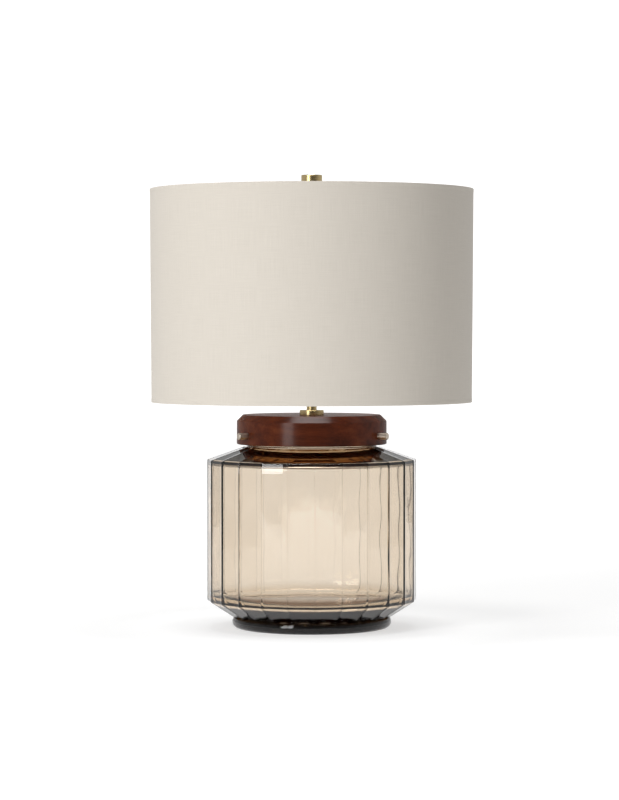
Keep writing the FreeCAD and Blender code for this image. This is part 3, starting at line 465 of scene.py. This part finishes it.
under = [(0.0, PUNT_RISE)]
for step in range(1, PUNT_STEPS):
    under += [(CONTACT_R * step / PUNT_STEPS, PUNT_RISE * (1 - (step / PUNT_STEPS) ** 2))]
under += [(CONTACT_R, 0.0), (CONTACT_R + CONTACT_WIDTH, 0.0)]
foot_rows = arc_rows((foot_middle_r, FOOT_BEAD_R), FOOT_BEAD_R, start=-90, end=52, steps=18)
slope_rows = [slope_start] + straight(slope_start, body_low, steps=6)
body_rows = rounded_corner(slope_start, body_low, body_top, EDGE_ROUND)
body_rows += straight(body_low, body_top, steps=12)
body_rows += rounded_corner(body_low, body_top, shoulder_top, EDGE_ROUND)
shoulder_rows = straight(body_top, shoulder_top, steps=6)
ledge_rows = rounded_corner(body_top, shoulder_top, (NECK_R, SHOULDER_Z), EDGE_ROUND / 2, steps=3)
neck_rows = [(NECK_R + LEDGE_WIDTH, SHOULDER_Z)]
neck_rows += arc_rows((NECK_R, BAND_Z), BAND_R, start=-80, end=90, steps=8)
neck_rows += [(NECK_R, GROOVE_LOW_Z - GROOVE_EASE), (NECK_R - GROOVE_EASE, GROOVE_LOW_Z),
              (GROOVE_R, GROOVE_LOW_Z + GROOVE_EASE), (GROOVE_R, GROOVE_TOP_Z - GROOVE_EASE),
              (BEAD_R - GROOVE_LIP, GROOVE_TOP_Z)]
rim_outer, rim_inner = (BEAD_R, RIM_Z), (NECK_INNER_R, RIM_Z)
neck_rows += rounded_corner((BEAD_R, GROOVE_TOP_Z), rim_outer, rim_inner, RIM_ROUND)
neck_rows += rounded_corner(rim_outer, rim_inner, (NECK_INNER_R, SHOULDER_Z), RIM_ROUND)

slope_tilt = (CORNER_R - SLOPE_START_R) / (BODY_LOW_Z - SLOPE_START_Z)
shoulder_tilt = (SHOULDER_Z - BODY_TOP_Z) / (CORNER_R - SHOULDER_R)
inside_r = CORNER_R - WALL
under_shoulder_z = BODY_TOP_Z + shoulder_tilt * WALL - WALL * math.hypot(shoulder_tilt, 1)
under_neck_z = under_shoulder_z + CEILING_RISE
floor_r = SLOPE_START_R + slope_tilt * (INSIDE_FLOOR_Z - SLOPE_START_Z) - WALL * math.hypot(slope_tilt, 1)
neck_root, side_top = (NECK_INNER_R, under_neck_z), (inside_r, under_shoulder_z)
floor_corner, floor_middle = (inside_r, INSIDE_FLOOR_Z), (0.0, INSIDE_FLOOR_Z)
neck_root_rows = rounded_corner(rim_inner, neck_root, side_top, NECK_ROOT_ROUND)
inside_rows = straight(neck_root, side_top, steps=5)
inside_rows += rounded_corner(neck_root, side_top, floor_corner, CEILING_ROUND)
inside_rows += straight(side_top, (inside_r, INSIDE_FLOOR_Z + INSIDE_ROUND), steps=26)
inside_rows += rounded_corner(side_top, floor_corner, floor_middle, INSIDE_ROUND, steps=12)
floor_rows = [(floor_r * k / FLOOR_STEPS, INSIDE_FLOOR_Z) for k in range(FLOOR_STEPS - 1, -1, -1)]
print("rows outside", len(foot_rows + slope_rows + body_rows + shoulder_rows), "and inside", len(inside_rows))


# %% [markdown]
# ## The glass jar: its skin
# Between two corners a panel is flat: its radius grows towards each corner as one over the cosine. The
# mould leaves a fine raised line on every corner. Hot glass also never sets quite even, so the inside gets
# a slow wave of about a fifth of a millimetre, which is what bends the far edges when they are seen through
# the front. The points of a row crowd together at each corner, where the raised line needs them.

# %% Jar mesh
LINE_HEIGHT = 0.35 * MM
LINE_HALF_WIDTH = 1.1 * MM
WAVE = 0.22 * MM
PANEL_TURN = TURN / PANELS
WAVES = ((3, 41.0, 0.3), (7, 67.0, 1.9), (12, 23.0, 4.2), (19, 95.0, 2.6))
LINE_SHARES = (0.0, 0.25, 0.5, 0.75, 1.0)
FLAT_STEPS = 5


def wave(angle, height):
    """Slow unevenness of the inner wall, from -1 to 1."""
    total = sum(math.sin(turns * angle + climb * height + start) for turns, climb, start in WAVES)
    return total / len(WAVES)


def jar_radius(row, angle):
    """Radius of the glass in a row, at an angle."""
    radius, height, panels, inside = row
    across = (angle + PANEL_TURN / 2) % PANEL_TURN - PANEL_TURN / 2
    from_middle = PANEL_TURN / 2 - abs(across)
    flat = math.cos(PANEL_TURN / 2) / math.cos(from_middle)
    result = radius * (1 + panels * (flat - 1))
    if inside:
        return result + inside * WAVE * wave(angle, height)
    from_corner = abs(across) * radius
    if panels and from_corner < LINE_HALF_WIDTH:
        result += panels * LINE_HEIGHT * (0.5 + 0.5 * math.cos(math.pi * from_corner / LINE_HALF_WIDTH))
    return result


line_turn = LINE_HALF_WIDTH / CORNER_R
in_a_panel = [share * line_turn for share in LINE_SHARES]
in_a_panel += [line_turn + (PANEL_TURN - 2 * line_turn) * k / FLAT_STEPS for k in range(1, FLAT_STEPS)]
in_a_panel += [PANEL_TURN - share * line_turn for share in reversed(LINE_SHARES[1:])]
jar_angles = [PANEL_TURN * panel + step for panel in range(PANELS) for step in in_a_panel]

jar_rows = with_share(under + foot_rows, 0.0)
jar_rows += with_share(slope_rows + body_rows + shoulder_rows, 1.0)
jar_rows += with_share(ledge_rows, 1.0) + with_share(neck_rows, 0.0)
jar_rows += with_share(neck_root_rows, 0.0)
jar_rows += with_share(inside_rows, 1.0, inside=1.0) + with_share(floor_rows, 0.0)
jar = ring_grid("jar_glass", jar_rows, jar_angles, jar_radius, closed=False)
print("jar has", len(jar.data.vertices), "points")

# %% [markdown]
# ## The glass itself
# Smoked glass is coloured all the way through, not on its skin. The shader lets light through, and an
# absorbing volume takes more of it the further it goes: the thin walls turn beige, and the thick base and
# shoulder turn nearly black by themselves. Painting the surface brown would make them all the same colour.

# %% Smoked glass
SMOKE_DENSITY = 95.0
SMOKE_COLOUR = (0.68, 0.50, 0.24, 1)
GLASS_IOR = 1.5
MOULD_GRAIN = 22.0
MOULD_DEPTH = 0.25 * MM

smoked, nodes, links, surface = shader("smoked_glass", Base_Color=(1, 1, 1, 1), Roughness=0.0)
surface.inputs["IOR"].default_value = GLASS_IOR
surface.inputs["Transmission Weight"].default_value = 1.0
absorb = nodes.new("ShaderNodeVolumeAbsorption")
absorb.inputs["Color"].default_value = SMOKE_COLOUR
absorb.inputs["Density"].default_value = SMOKE_DENSITY
links.new(absorb.outputs["Volume"], nodes["Material Output"].inputs["Volume"])
mould_waves = noise(nodes, links, space(nodes, links, scale=(1, 1, 0.35)), MOULD_GRAIN, detail=2.0)
relief(nodes, links, surface, mould_waves, MOULD_DEPTH, strength=0.6)
jar.data.materials.append(smoked)
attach(jar, "base")
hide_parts("glass_jar")
print("smoked glass on", jar.name)

# %% [markdown]
# ## The wooden lid
# The lid is turned from one block, stained red-brown and sealed with a satin varnish. Its shape is right in
# the frame, so it only needs its wood. The grain is a solid pattern: noise stretched along the block and cut
# through by the lid's surface, so it runs along the front and ends on the left and right sides, as it does
# in real wood. The varnish is a coat over the wood. The wood below it reflects nothing itself, so all the
# shine is the coat's.

# %% Stained wood
WOOD_DARK = (0.040, 0.0070, 0.0018)
WOOD_RED = (0.090, 0.0165, 0.0039)
WOOD_LIGHT = (0.143, 0.0335, 0.0088)
BANDS_SHARE = 0.62
FIBRES_SHARE = 0.22
STAIN_SHARE = 0.16
PORE_DEPTH = 0.05 * MM

stained, nodes, links, surface = shader("stained_wood", Roughness=0.5, Specular_IOR_Level=0.0)
surface.inputs["Coat Weight"].default_value = 0.4
surface.inputs["Coat Roughness"].default_value = 0.2
band_space = space(nodes, links, scale=(0.06, 1.0, 1.0))
fibre_space = space(nodes, links, scale=(0.03, 1.0, 1.0))
bands = noise(nodes, links, band_space, scale=70.0, detail=3.0, roughness=0.55)
fibres = noise(nodes, links, fibre_space, scale=900.0, detail=3.0, roughness=0.6)
stain = noise(nodes, links, space(nodes, links), scale=16.0, detail=2.0)
mixed = combine(nodes, links, "ADD", combine(nodes, links, "MULTIPLY", bands, BANDS_SHARE),
                combine(nodes, links, "MULTIPLY", fibres, FIBRES_SHARE))
mixed = combine(nodes, links, "ADD", mixed, combine(nodes, links, "MULTIPLY", stain, STAIN_SHARE))
wood_colour = ramp(nodes, links, mixed, [(0.36, WOOD_DARK), (0.52, WOOD_RED), (0.68, WOOD_LIGHT)])
links.new(wood_colour, surface.inputs["Base Color"])
links.new(spread(nodes, links, fibres, low=0.45, high=0.62), surface.inputs["Roughness"])
relief(nodes, links, surface, fibres, PORE_DEPTH, strength=0.5)
paint(stained, "wooden_lid")
print("lid stained")


# %% [markdown]
# ## Brass and the other metals
# Satin brass is turned on a lathe and rubbed with fine abrasive while it spins, so its scratches are rings
# round the axis. A noise that depends only on the height and the distance from the axis draws such rings.
# It changes the roughness and the relief a little. Drawn, stamped and plated parts were never on a lathe,
# so theirs is a plain cloudy noise.

# %% Metals
def turned_metal(name, dark, light, rough, lines=2600.0):
    """A metal with fine lathe lines round the upright axis; lines is their number per metre."""
    made, nodes, links, surface = shader(name, Metallic=1.0, Roughness=rough)
    surface.inputs["Anisotropic"].default_value = 0.45
    place = nodes.new("ShaderNodeTexCoord")
    parts = nodes.new("ShaderNodeSeparateXYZ")
    links.new(place.outputs["Object"], parts.inputs["Vector"])
    squares = [combine(nodes, links, "MULTIPLY", parts.outputs[a], parts.outputs[a]) for a in ("X", "Y")]
    from_axis = combine(nodes, links, "SQRT", combine(nodes, links, "ADD", *squares), 0)
    rings = nodes.new("ShaderNodeCombineXYZ")
    links.new(from_axis, rings.inputs["X"])
    links.new(parts.outputs["Z"], rings.inputs["Y"])
    scratches = noise(nodes, links, rings.outputs["Vector"], lines, detail=4.0, roughness=0.6)
    handled = noise(nodes, links, space(nodes, links), scale=60.0)
    links.new(ramp(nodes, links, handled, [(0.35, dark), (0.65, light)]), surface.inputs["Base Color"])
    rubbed = spread(nodes, links, scratches, low=rough - 0.08, high=rough + 0.10)
    links.new(rubbed, surface.inputs["Roughness"])
    relief(nodes, links, surface, scratches, depth=0.012 * MM, strength=0.5)
    return made


def plain_metal(name, dark, light, rough, grain=180.0, depth=0.02 * MM):
    """A drawn, stamped or plated metal: even, with faint marks."""
    made, nodes, links, surface = shader(name, Metallic=1.0, Roughness=rough)
    marks = noise(nodes, links, space(nodes, links), grain, detail=4.0, roughness=0.6)
    links.new(ramp(nodes, links, marks, [(0.35, dark), (0.65, light)]), surface.inputs["Base Color"])
    links.new(spread(nodes, links, marks, low=rough - 0.05, high=rough + 0.10), surface.inputs["Roughness"])
    relief(nodes, links, surface, marks, depth, strength=0.3)
    return made


satin_brass = turned_metal("satin_brass", dark=(0.56, 0.43, 0.21), light=(0.66, 0.52, 0.27), rough=0.24)
paint(satin_brass, "brass_flange", "neck_tube", "finial_knob")
brass_plain = plain_metal("brass_plain", dark=(0.62, 0.46, 0.19), light=(0.72, 0.55, 0.26), rough=0.28)
paint(brass_plain, "clamp_bushes", "terminal_screws", "centre_contact", "switch_stem", "finial_insert")
holder_brass = turned_metal("holder_brass", dark=(0.66, 0.50, 0.22), light=(0.76, 0.60, 0.30), rough=0.20,
                            lines=1500.0)
paint(holder_brass, "socket_cap", "socket_shell")
harp_brass = plain_metal("harp_brass", dark=(0.60, 0.45, 0.20), light=(0.70, 0.54, 0.27), rough=0.26,
                         grain=260.0)
paint(harp_brass, "harp_saddle", "harp_wire", "harp_swivel", "harp_sleeve_left", "harp_sleeve_right")
zinc_steel = plain_metal("zinc_steel", dark=(0.55, 0.56, 0.57), light=(0.68, 0.68, 0.67), rough=0.34)
paint(zinc_steel, "lid_washer", "lock_nut", "threaded_pipe", "cap_grub_screw")
thin_aluminium = plain_metal("thin_aluminium", dark=(0.72, 0.73, 0.74), light=(0.82, 0.82, 0.82), rough=0.25)
solder = plain_metal("solder", dark=(0.50, 0.50, 0.51), light=(0.66, 0.66, 0.66), rough=0.32,
                     grain=400.0, depth=0.08 * MM)
paint(solder, "bulb_tip_contact")
print("metals ready")

# %% [markdown]
# ## The clamp screws
# Three short pins stand out of the lid, one at the left front, one at the right front and one behind. They
# are brushed along their length and pale, like nickel over brass. Their lines run along the pin, so the
# noise is turned to each pin's own heading and then stretched that way.

# %% Brushed pins
PIN_DARK = (0.50, 0.42, 0.34)
PIN_LIGHT = (0.70, 0.62, 0.53)
PIN_HEADINGS = {"left": 210.0, "right": 330.0, "rear": 90.0}
PIN_STRETCH = (0.04, 1, 1)
PIN_LINES = 2400.0

for side, heading in PIN_HEADINGS.items():
    pin_metal, nodes, links, surface = shader("brushed_pin_" + side, Metallic=1.0, Roughness=0.3)
    turned_space = nodes.new("ShaderNodeMapping")
    turned_space.inputs["Rotation"].default_value = (0, 0, -math.radians(heading))
    links.new(nodes.new("ShaderNodeTexCoord").outputs["Object"], turned_space.inputs["Vector"])
    stretched = nodes.new("ShaderNodeMapping")
    stretched.inputs["Scale"].default_value = PIN_STRETCH
    links.new(turned_space.outputs["Vector"], stretched.inputs["Vector"])
    brushing = noise(nodes, links, stretched.outputs["Vector"], PIN_LINES, detail=3.0, roughness=0.6)
    pin_colour = ramp(nodes, links, brushing, [(0.3, PIN_DARK), (0.7, PIN_LIGHT)])
    links.new(pin_colour, surface.inputs["Base Color"])
    links.new(spread(nodes, links, brushing, low=0.24, high=0.42), surface.inputs["Roughness"])
    relief(nodes, links, surface, brushing, depth=0.015 * MM, strength=0.5)
    paint(pin_metal, "clamp_screw_" + side)
print("three pins brushed")


# %% [markdown]
# ## Rubber, card, mouldings and enamel
# The small pieces inside are plain in shape, but none is one flat colour. Each gets a faint mottle and its
# own gloss. One function makes them all, because they differ only in colour, gloss and grain.

# %% Plain finishes
def plain_finish(name, dark, light, rough, grain):
    """A non-metal with a faint mottle; grain is in patches per metre."""
    made, nodes, links, surface = shader(name, Roughness=rough)
    mottle = noise(nodes, links, space(nodes, links), grain, detail=4.0, roughness=0.6)
    links.new(ramp(nodes, links, mottle, [(0.35, dark), (0.65, light)]), surface.inputs["Base Color"])
    links.new(spread(nodes, links, mottle, low=rough - 0.06, high=rough + 0.08), surface.inputs["Roughness"])
    relief(nodes, links, surface, mottle, depth=0.03 * MM, strength=0.4)
    return made


FINISHES = (
    ("gasket_rubber", (0.020, 0.019, 0.018), (0.034, 0.032, 0.030), 0.62, 250.0, ["lid_gasket"]),
    ("soft_pad", (0.45, 0.43, 0.40), (0.55, 0.53, 0.50), 0.55, 250.0,
     ["clamp_tip_left", "clamp_tip_right", "clamp_tip_rear"]),
    ("black_nylon", (0.012, 0.012, 0.013), (0.022, 0.022, 0.023), 0.42, 250.0, ["cord_inlet_bush"]),
    ("black_moulding", (0.014, 0.013, 0.013), (0.024, 0.023, 0.022), 0.30, 250.0,
     ["socket_body", "switch_knob"]),
    ("card", (0.46, 0.38, 0.27), (0.58, 0.50, 0.38), 0.85, 500.0, ["insulating_sleeve"]),
    ("black_glass", (0.008, 0.008, 0.010), (0.014, 0.014, 0.018), 0.12, 250.0, ["bulb_insulator"]),
    ("white_enamel", (0.72, 0.72, 0.70), (0.80, 0.80, 0.78), 0.35, 250.0,
     ["shade_top_frame", "shade_bottom_ring"]),
    ("fibre", (0.30, 0.10, 0.05), (0.40, 0.15, 0.08), 0.75, 700.0, ["finial_washer"]),
    ("white_liner", (0.76, 0.75, 0.72), (0.81, 0.80, 0.78), 0.48, 40.0, ["shade_liner"]),
    ("filament_yellow", (0.72, 0.50, 0.10), (0.85, 0.62, 0.16), 0.5, 250.0, ["bulb_filaments"]),
)
for name, dark, light, rough, grain, pieces in FINISHES:
    paint(plain_finish(name, dark, light, rough, grain), *pieces)
print(len(FINISHES), "plain finishes ready")

# %% [markdown]
# ## The bulb's glass
# The globe is thin glass with a white frost inside, so the light strips behind it show only as a soft
# shape. A real coating could be a second skin inside the first. One frosted material is enough here: it is
# part see-through and part white, with a fine grain in its roughness. The stem inside is clear glass.

# %% Frosted and clear glass
FROST_IOR = 1.45
FROST_GRAIN = 1400.0
FROST_DARK = (0.84, 0.84, 0.82)
FROST_LIGHT = (0.90, 0.90, 0.88)

frosted, nodes, links, surface = shader("frosted_glass", Roughness=0.5)
surface.inputs["Transmission Weight"].default_value = 0.35
surface.inputs["IOR"].default_value = FROST_IOR
frost = noise(nodes, links, space(nodes, links), FROST_GRAIN, detail=2.0)
links.new(ramp(nodes, links, frost, [(0.3, FROST_DARK), (0.7, FROST_LIGHT)]), surface.inputs["Base Color"])
links.new(spread(nodes, links, frost, low=0.42, high=0.58), surface.inputs["Roughness"])
relief(nodes, links, surface, frost, depth=0.02 * MM, strength=0.4)
paint(frosted, "bulb_glass")
clear, nodes, links, surface = shader("clear_glass", Roughness=0.02)
surface.inputs["Transmission Weight"].default_value = 1.0
surface.inputs["IOR"].default_value = GLASS_IOR
stem_waves = noise(nodes, links, space(nodes, links), scale=90.0)
relief(nodes, links, surface, stem_waves, depth=0.1 * MM, strength=0.4)
paint(clear, "bulb_stem")
print("bulb glass ready")

# %% [markdown]
# ## The bulb's cap and its shell
# The cap and the shell that it screws into are rolled from thin metal: the round thread is the sheet
# itself, not a cut. The Screw modifier could sweep one thread, but its two ends would stop dead. A radius
# that rises and falls along a helix gives both tubes, one fitting in the other, and the thread can fade
# out smoothly near each end.

# %% Rolled threads
THREAD_PITCH = 25.4 / 7 * MM
THREAD_DEPTH = 0.55 * MM
THREAD_FADE = 2.2 * MM
ROWS_PER_PITCH = 10
THREAD_COLUMNS = 72
CAP_WALL = 0.4 * MM
SHELL_WALL = 0.6 * MM


def rolled_tube(name, outer_r, wall, low, high):
    """A thin tube whose wall follows a round thread."""
    steps = int((high - low) / (THREAD_PITCH / ROWS_PER_PITCH))
    heights = [low + (high - low) * k / steps for k in range(steps + 1)]

    def radius(row, angle):
        near_end = min(row[1] - low, high - row[1])
        depth = THREAD_DEPTH * min(1.0, max(0.0, near_end / THREAD_FADE))
        phase = TURN * row[1] / THREAD_PITCH - angle
        return row[0] - depth * (0.5 + 0.5 * math.cos(phase))
    outer = [(outer_r, z) for z in heights]
    inner = [(outer_r - wall, z) for z in reversed(heights)]
    return ring_grid(name, outer + inner, even_angles(THREAD_COLUMNS), radius)


cap_low, cap_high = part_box("bulb_cap")
thread_cap = rolled_tube("bulb_cap_thread", cap_high.x, CAP_WALL, cap_low.z, cap_high.z)
thread_cap.data.materials.append(thin_aluminium)
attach(thread_cap, "bulb")
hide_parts("bulb_cap")
shell_low, shell_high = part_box("screw_shell")
thread_shell = rolled_tube("screw_shell_thread", shell_high.x, SHELL_WALL, shell_low.z, shell_high.z)
thread_shell.data.materials.append(thin_aluminium)
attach(thread_shell, "base")
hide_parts("screw_shell")
print("thread pitch", round(THREAD_PITCH / MM, 2), "mm")

# %% [markdown]
# ## The shade's cloth
# The drum is a strip of off-white cloth glued round a stiff liner, with its edges turned over the two wire
# rings and a lapped seam at the back. The cloth is stretched tight, so it needs no simulation: a curved
# sheet with a slight ripple is closer to the real thing. The turned edges are thicker and rounded, and the
# lap is a second layer whose edge shows as a fine upright step.

# %% Shade cloth
fabric_low, fabric_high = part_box("shade_fabric")
SHADE_TOP_R = fabric_high.x
SHADE_LOW_R = 201.6 * MM
SHADE_HEIGHT = fabric_high.z - fabric_low.z
CLOTH = 0.6 * MM
TURNED_EDGE = 5.0 * MM
EDGE_SWELL = 0.25 * MM
EDGE_EASE = 0.4 * MM
SEAM_ANGLE = math.radians(90.0)
SEAM_LAP = 12.0 * MM
SEAM_STEP = 0.35 * MM
SEAM_SHARPNESS = 0.0004
RIPPLE = 0.10 * MM
EDGE_STEPS = 5
MIDDLE_STEPS = 16
MIDDLE_MARGIN = 0.02
CLOTH_COLUMNS = 240


def drum_r(z):
    """Outer radius of the drum at a height."""
    return SHADE_LOW_R + (SHADE_TOP_R - SHADE_LOW_R) * (z - fabric_low.z) / SHADE_HEIGHT


def ripple(angle, z):
    """Slight unevenness of the glued cloth: five and eleven slow waves round the drum."""
    return RIPPLE * math.sin(5 * angle + 9 * z) * math.sin(11 * angle - 6 * z + 1)


def cloth_radius(row, angle):
    """Radius of the cloth: rounded turned edges, a lapped seam and a slight ripple."""
    offset, z = row[0] - 1.0, row[1]
    from_edge = min(z - fabric_low.z, fabric_high.z - z)
    swell = EDGE_SWELL if from_edge < TURNED_EDGE else 0.0
    behind = (angle - SEAM_ANGLE + math.pi) % TURN - math.pi
    lap = SEAM_STEP if 0 < behind * SHADE_TOP_R < SEAM_LAP else 0.0
    return drum_r(z) + offset - EDGE_SWELL - SEAM_STEP + swell + lap + ripple(angle, z)


print("drum radius", round(drum_r(fabric_low.z), 4), "below and", round(drum_r(fabric_high.z), 4), "above")

# %% [markdown]
# ## The shade's cloth: its rows
# The rows lie close together in the turned edges and far apart between them, because only the edges curve.
# The outline goes up the outer face, over the top edge, down the inner face and under the bottom edge, so
# the cloth is a closed skin with a real thickness, and its edges catch the light as rounded ones do.

# %% Shade cloth outline
def depth_row(share, z):
    """A row part of the way through the cloth: 0 is its outer face, 1 its inner face."""
    return (1.0 - CLOTH * share, z)


heights = [fabric_low.z + TURNED_EDGE * k / EDGE_STEPS for k in range(EDGE_STEPS + 1)]
heights += [fabric_low.z + TURNED_EDGE + EDGE_EASE]
middle_low, middle_height = fabric_low.z + MIDDLE_MARGIN, SHADE_HEIGHT - 2 * MIDDLE_MARGIN
heights += [middle_low + middle_height * k / MIDDLE_STEPS for k in range(MIDDLE_STEPS + 1)]
heights += [fabric_high.z - TURNED_EDGE - EDGE_EASE]
heights += [fabric_high.z - TURNED_EDGE * k / EDGE_STEPS for k in range(EDGE_STEPS, -1, -1)]

NEAR_OUTER, MIDDLE, NEAR_INNER = 0.12, 0.5, 0.88
EDGE_TIP, EDGE_SIDE = 0.05 * MM, 0.25 * MM
cloth_rows = [depth_row(MIDDLE, heights[0] + EDGE_TIP), depth_row(NEAR_OUTER, heights[0] + EDGE_SIDE)]
cloth_rows += [depth_row(0.0, z) for z in heights[1:-1]]
cloth_rows += [depth_row(NEAR_OUTER, heights[-1] - EDGE_SIDE), depth_row(MIDDLE, heights[-1] - EDGE_TIP),
               depth_row(NEAR_INNER, heights[-1] - EDGE_SIDE)]
cloth_rows += [depth_row(1.0, z) for z in reversed(heights[1:-1])]
cloth_rows += [depth_row(NEAR_INNER, heights[0] + EDGE_SIDE)]
lap_turn = SEAM_LAP / SHADE_TOP_R
seam_angles = [SEAM_ANGLE + SEAM_SHARPNESS, SEAM_ANGLE + lap_turn - SEAM_SHARPNESS]
cloth = ring_grid("shade_cloth", cloth_rows, sorted(even_angles(CLOTH_COLUMNS) + seam_angles), cloth_radius)
print("cloth", round(TURN * SHADE_LOW_R, 3), "by", round(SHADE_HEIGHT, 3), "metres")

# %% [markdown]
# ## The weave
# A plain weave passes each thread over one and under the next. Two sets of fine waves, one round the drum
# and one up it, give that relief. The weave is drawn in the cloth's own flat coordinates, so a UV map in
# metres comes first: unrolled, the drum is a long strip. Where a face crosses the line at which the
# angle jumps back, one turn is added, or the strip would fold over itself there.

# %% Flat coordinates of the cloth
uv = cloth.data.uv_layers.new(name="flat_cloth")
for polygon in cloth.data.polygons:
    places = [cloth.data.vertices[v].co for v in polygon.vertices]
    turns = [math.atan2(place.y, place.x) for place in places]
    crosses = max(turns) - min(turns) > math.pi
    for loop_index, place, turn in zip(polygon.loop_indices, places, turns):
        full = turn + TURN if crosses and turn < 0 else turn
        uv.data[loop_index].uv = (full * SHADE_TOP_R, place.z)
print("flat coordinates on", len(cloth.data.polygons), "faces")

# %% [markdown]
# ## The linen
# Linen has thicker threads here and there, called slubs. They are long thin streaks of noise, drawn along
# the strip and up it. They change the colour a little and stand out as relief together with the weave. A
# faint sheen stands for the fine hairs on the yarn.

# %% Weave
LINEN_DARK = (0.60, 0.555, 0.490)
LINEN_LIGHT = (0.655, 0.608, 0.540)
THREADS_PER_METRE = 1500.0
SLUB_LENGTH_SCALE = 28
SLUB_WIDTH_SCALE = 1400
WEAVE_SHARE = 0.35
WEAVE_DEPTH = 0.08 * MM

linen, nodes, links, surface = shader("linen", Roughness=0.85)
surface.inputs["Sheen Weight"].default_value = 0.12
surface.inputs["Sheen Roughness"].default_value = 0.5
surface.inputs["Specular IOR Level"].default_value = 0.25
flat = nodes.new("ShaderNodeUVMap")
flat.uv_map = "flat_cloth"
axes = nodes.new("ShaderNodeSeparateXYZ")
links.new(flat.outputs["UV"], axes.inputs["Vector"])


def threads(axis):
    """Fine waves along one axis of the cloth, one for each thread."""
    turned = combine(nodes, links, "MULTIPLY", axes.outputs[axis], THREADS_PER_METRE * TURN)
    return combine(nodes, links, "SINE", turned, 0)


def streaks(scale_x, scale_y):
    """Long thin patches in the cloth's own flat space."""
    stretch = nodes.new("ShaderNodeMapping")
    stretch.inputs["Scale"].default_value = (scale_x, scale_y, 1)
    links.new(flat.outputs["UV"], stretch.inputs["Vector"])
    return noise(nodes, links, stretch.outputs["Vector"], scale=1.0, detail=3.0, roughness=0.6)


weave = combine(nodes, links, "MULTIPLY", threads("X"), threads("Y"))
slubs = combine(nodes, links, "ADD", streaks(SLUB_LENGTH_SCALE, SLUB_WIDTH_SCALE),
                streaks(SLUB_WIDTH_SCALE, SLUB_LENGTH_SCALE))
mottle = combine(nodes, links, "MULTIPLY", slubs, 0.5)
linen_colour = ramp(nodes, links, mottle, [(0.35, LINEN_DARK), (0.65, LINEN_LIGHT)])
links.new(linen_colour, surface.inputs["Base Color"])
height = combine(nodes, links, "ADD", combine(nodes, links, "MULTIPLY", weave, WEAVE_SHARE), slubs)
relief(nodes, links, surface, height, WEAVE_DEPTH, strength=0.35)
cloth.data.materials.append(linen)
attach(cloth, "shade")
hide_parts("shade_fabric")
print("linen on", cloth.name)
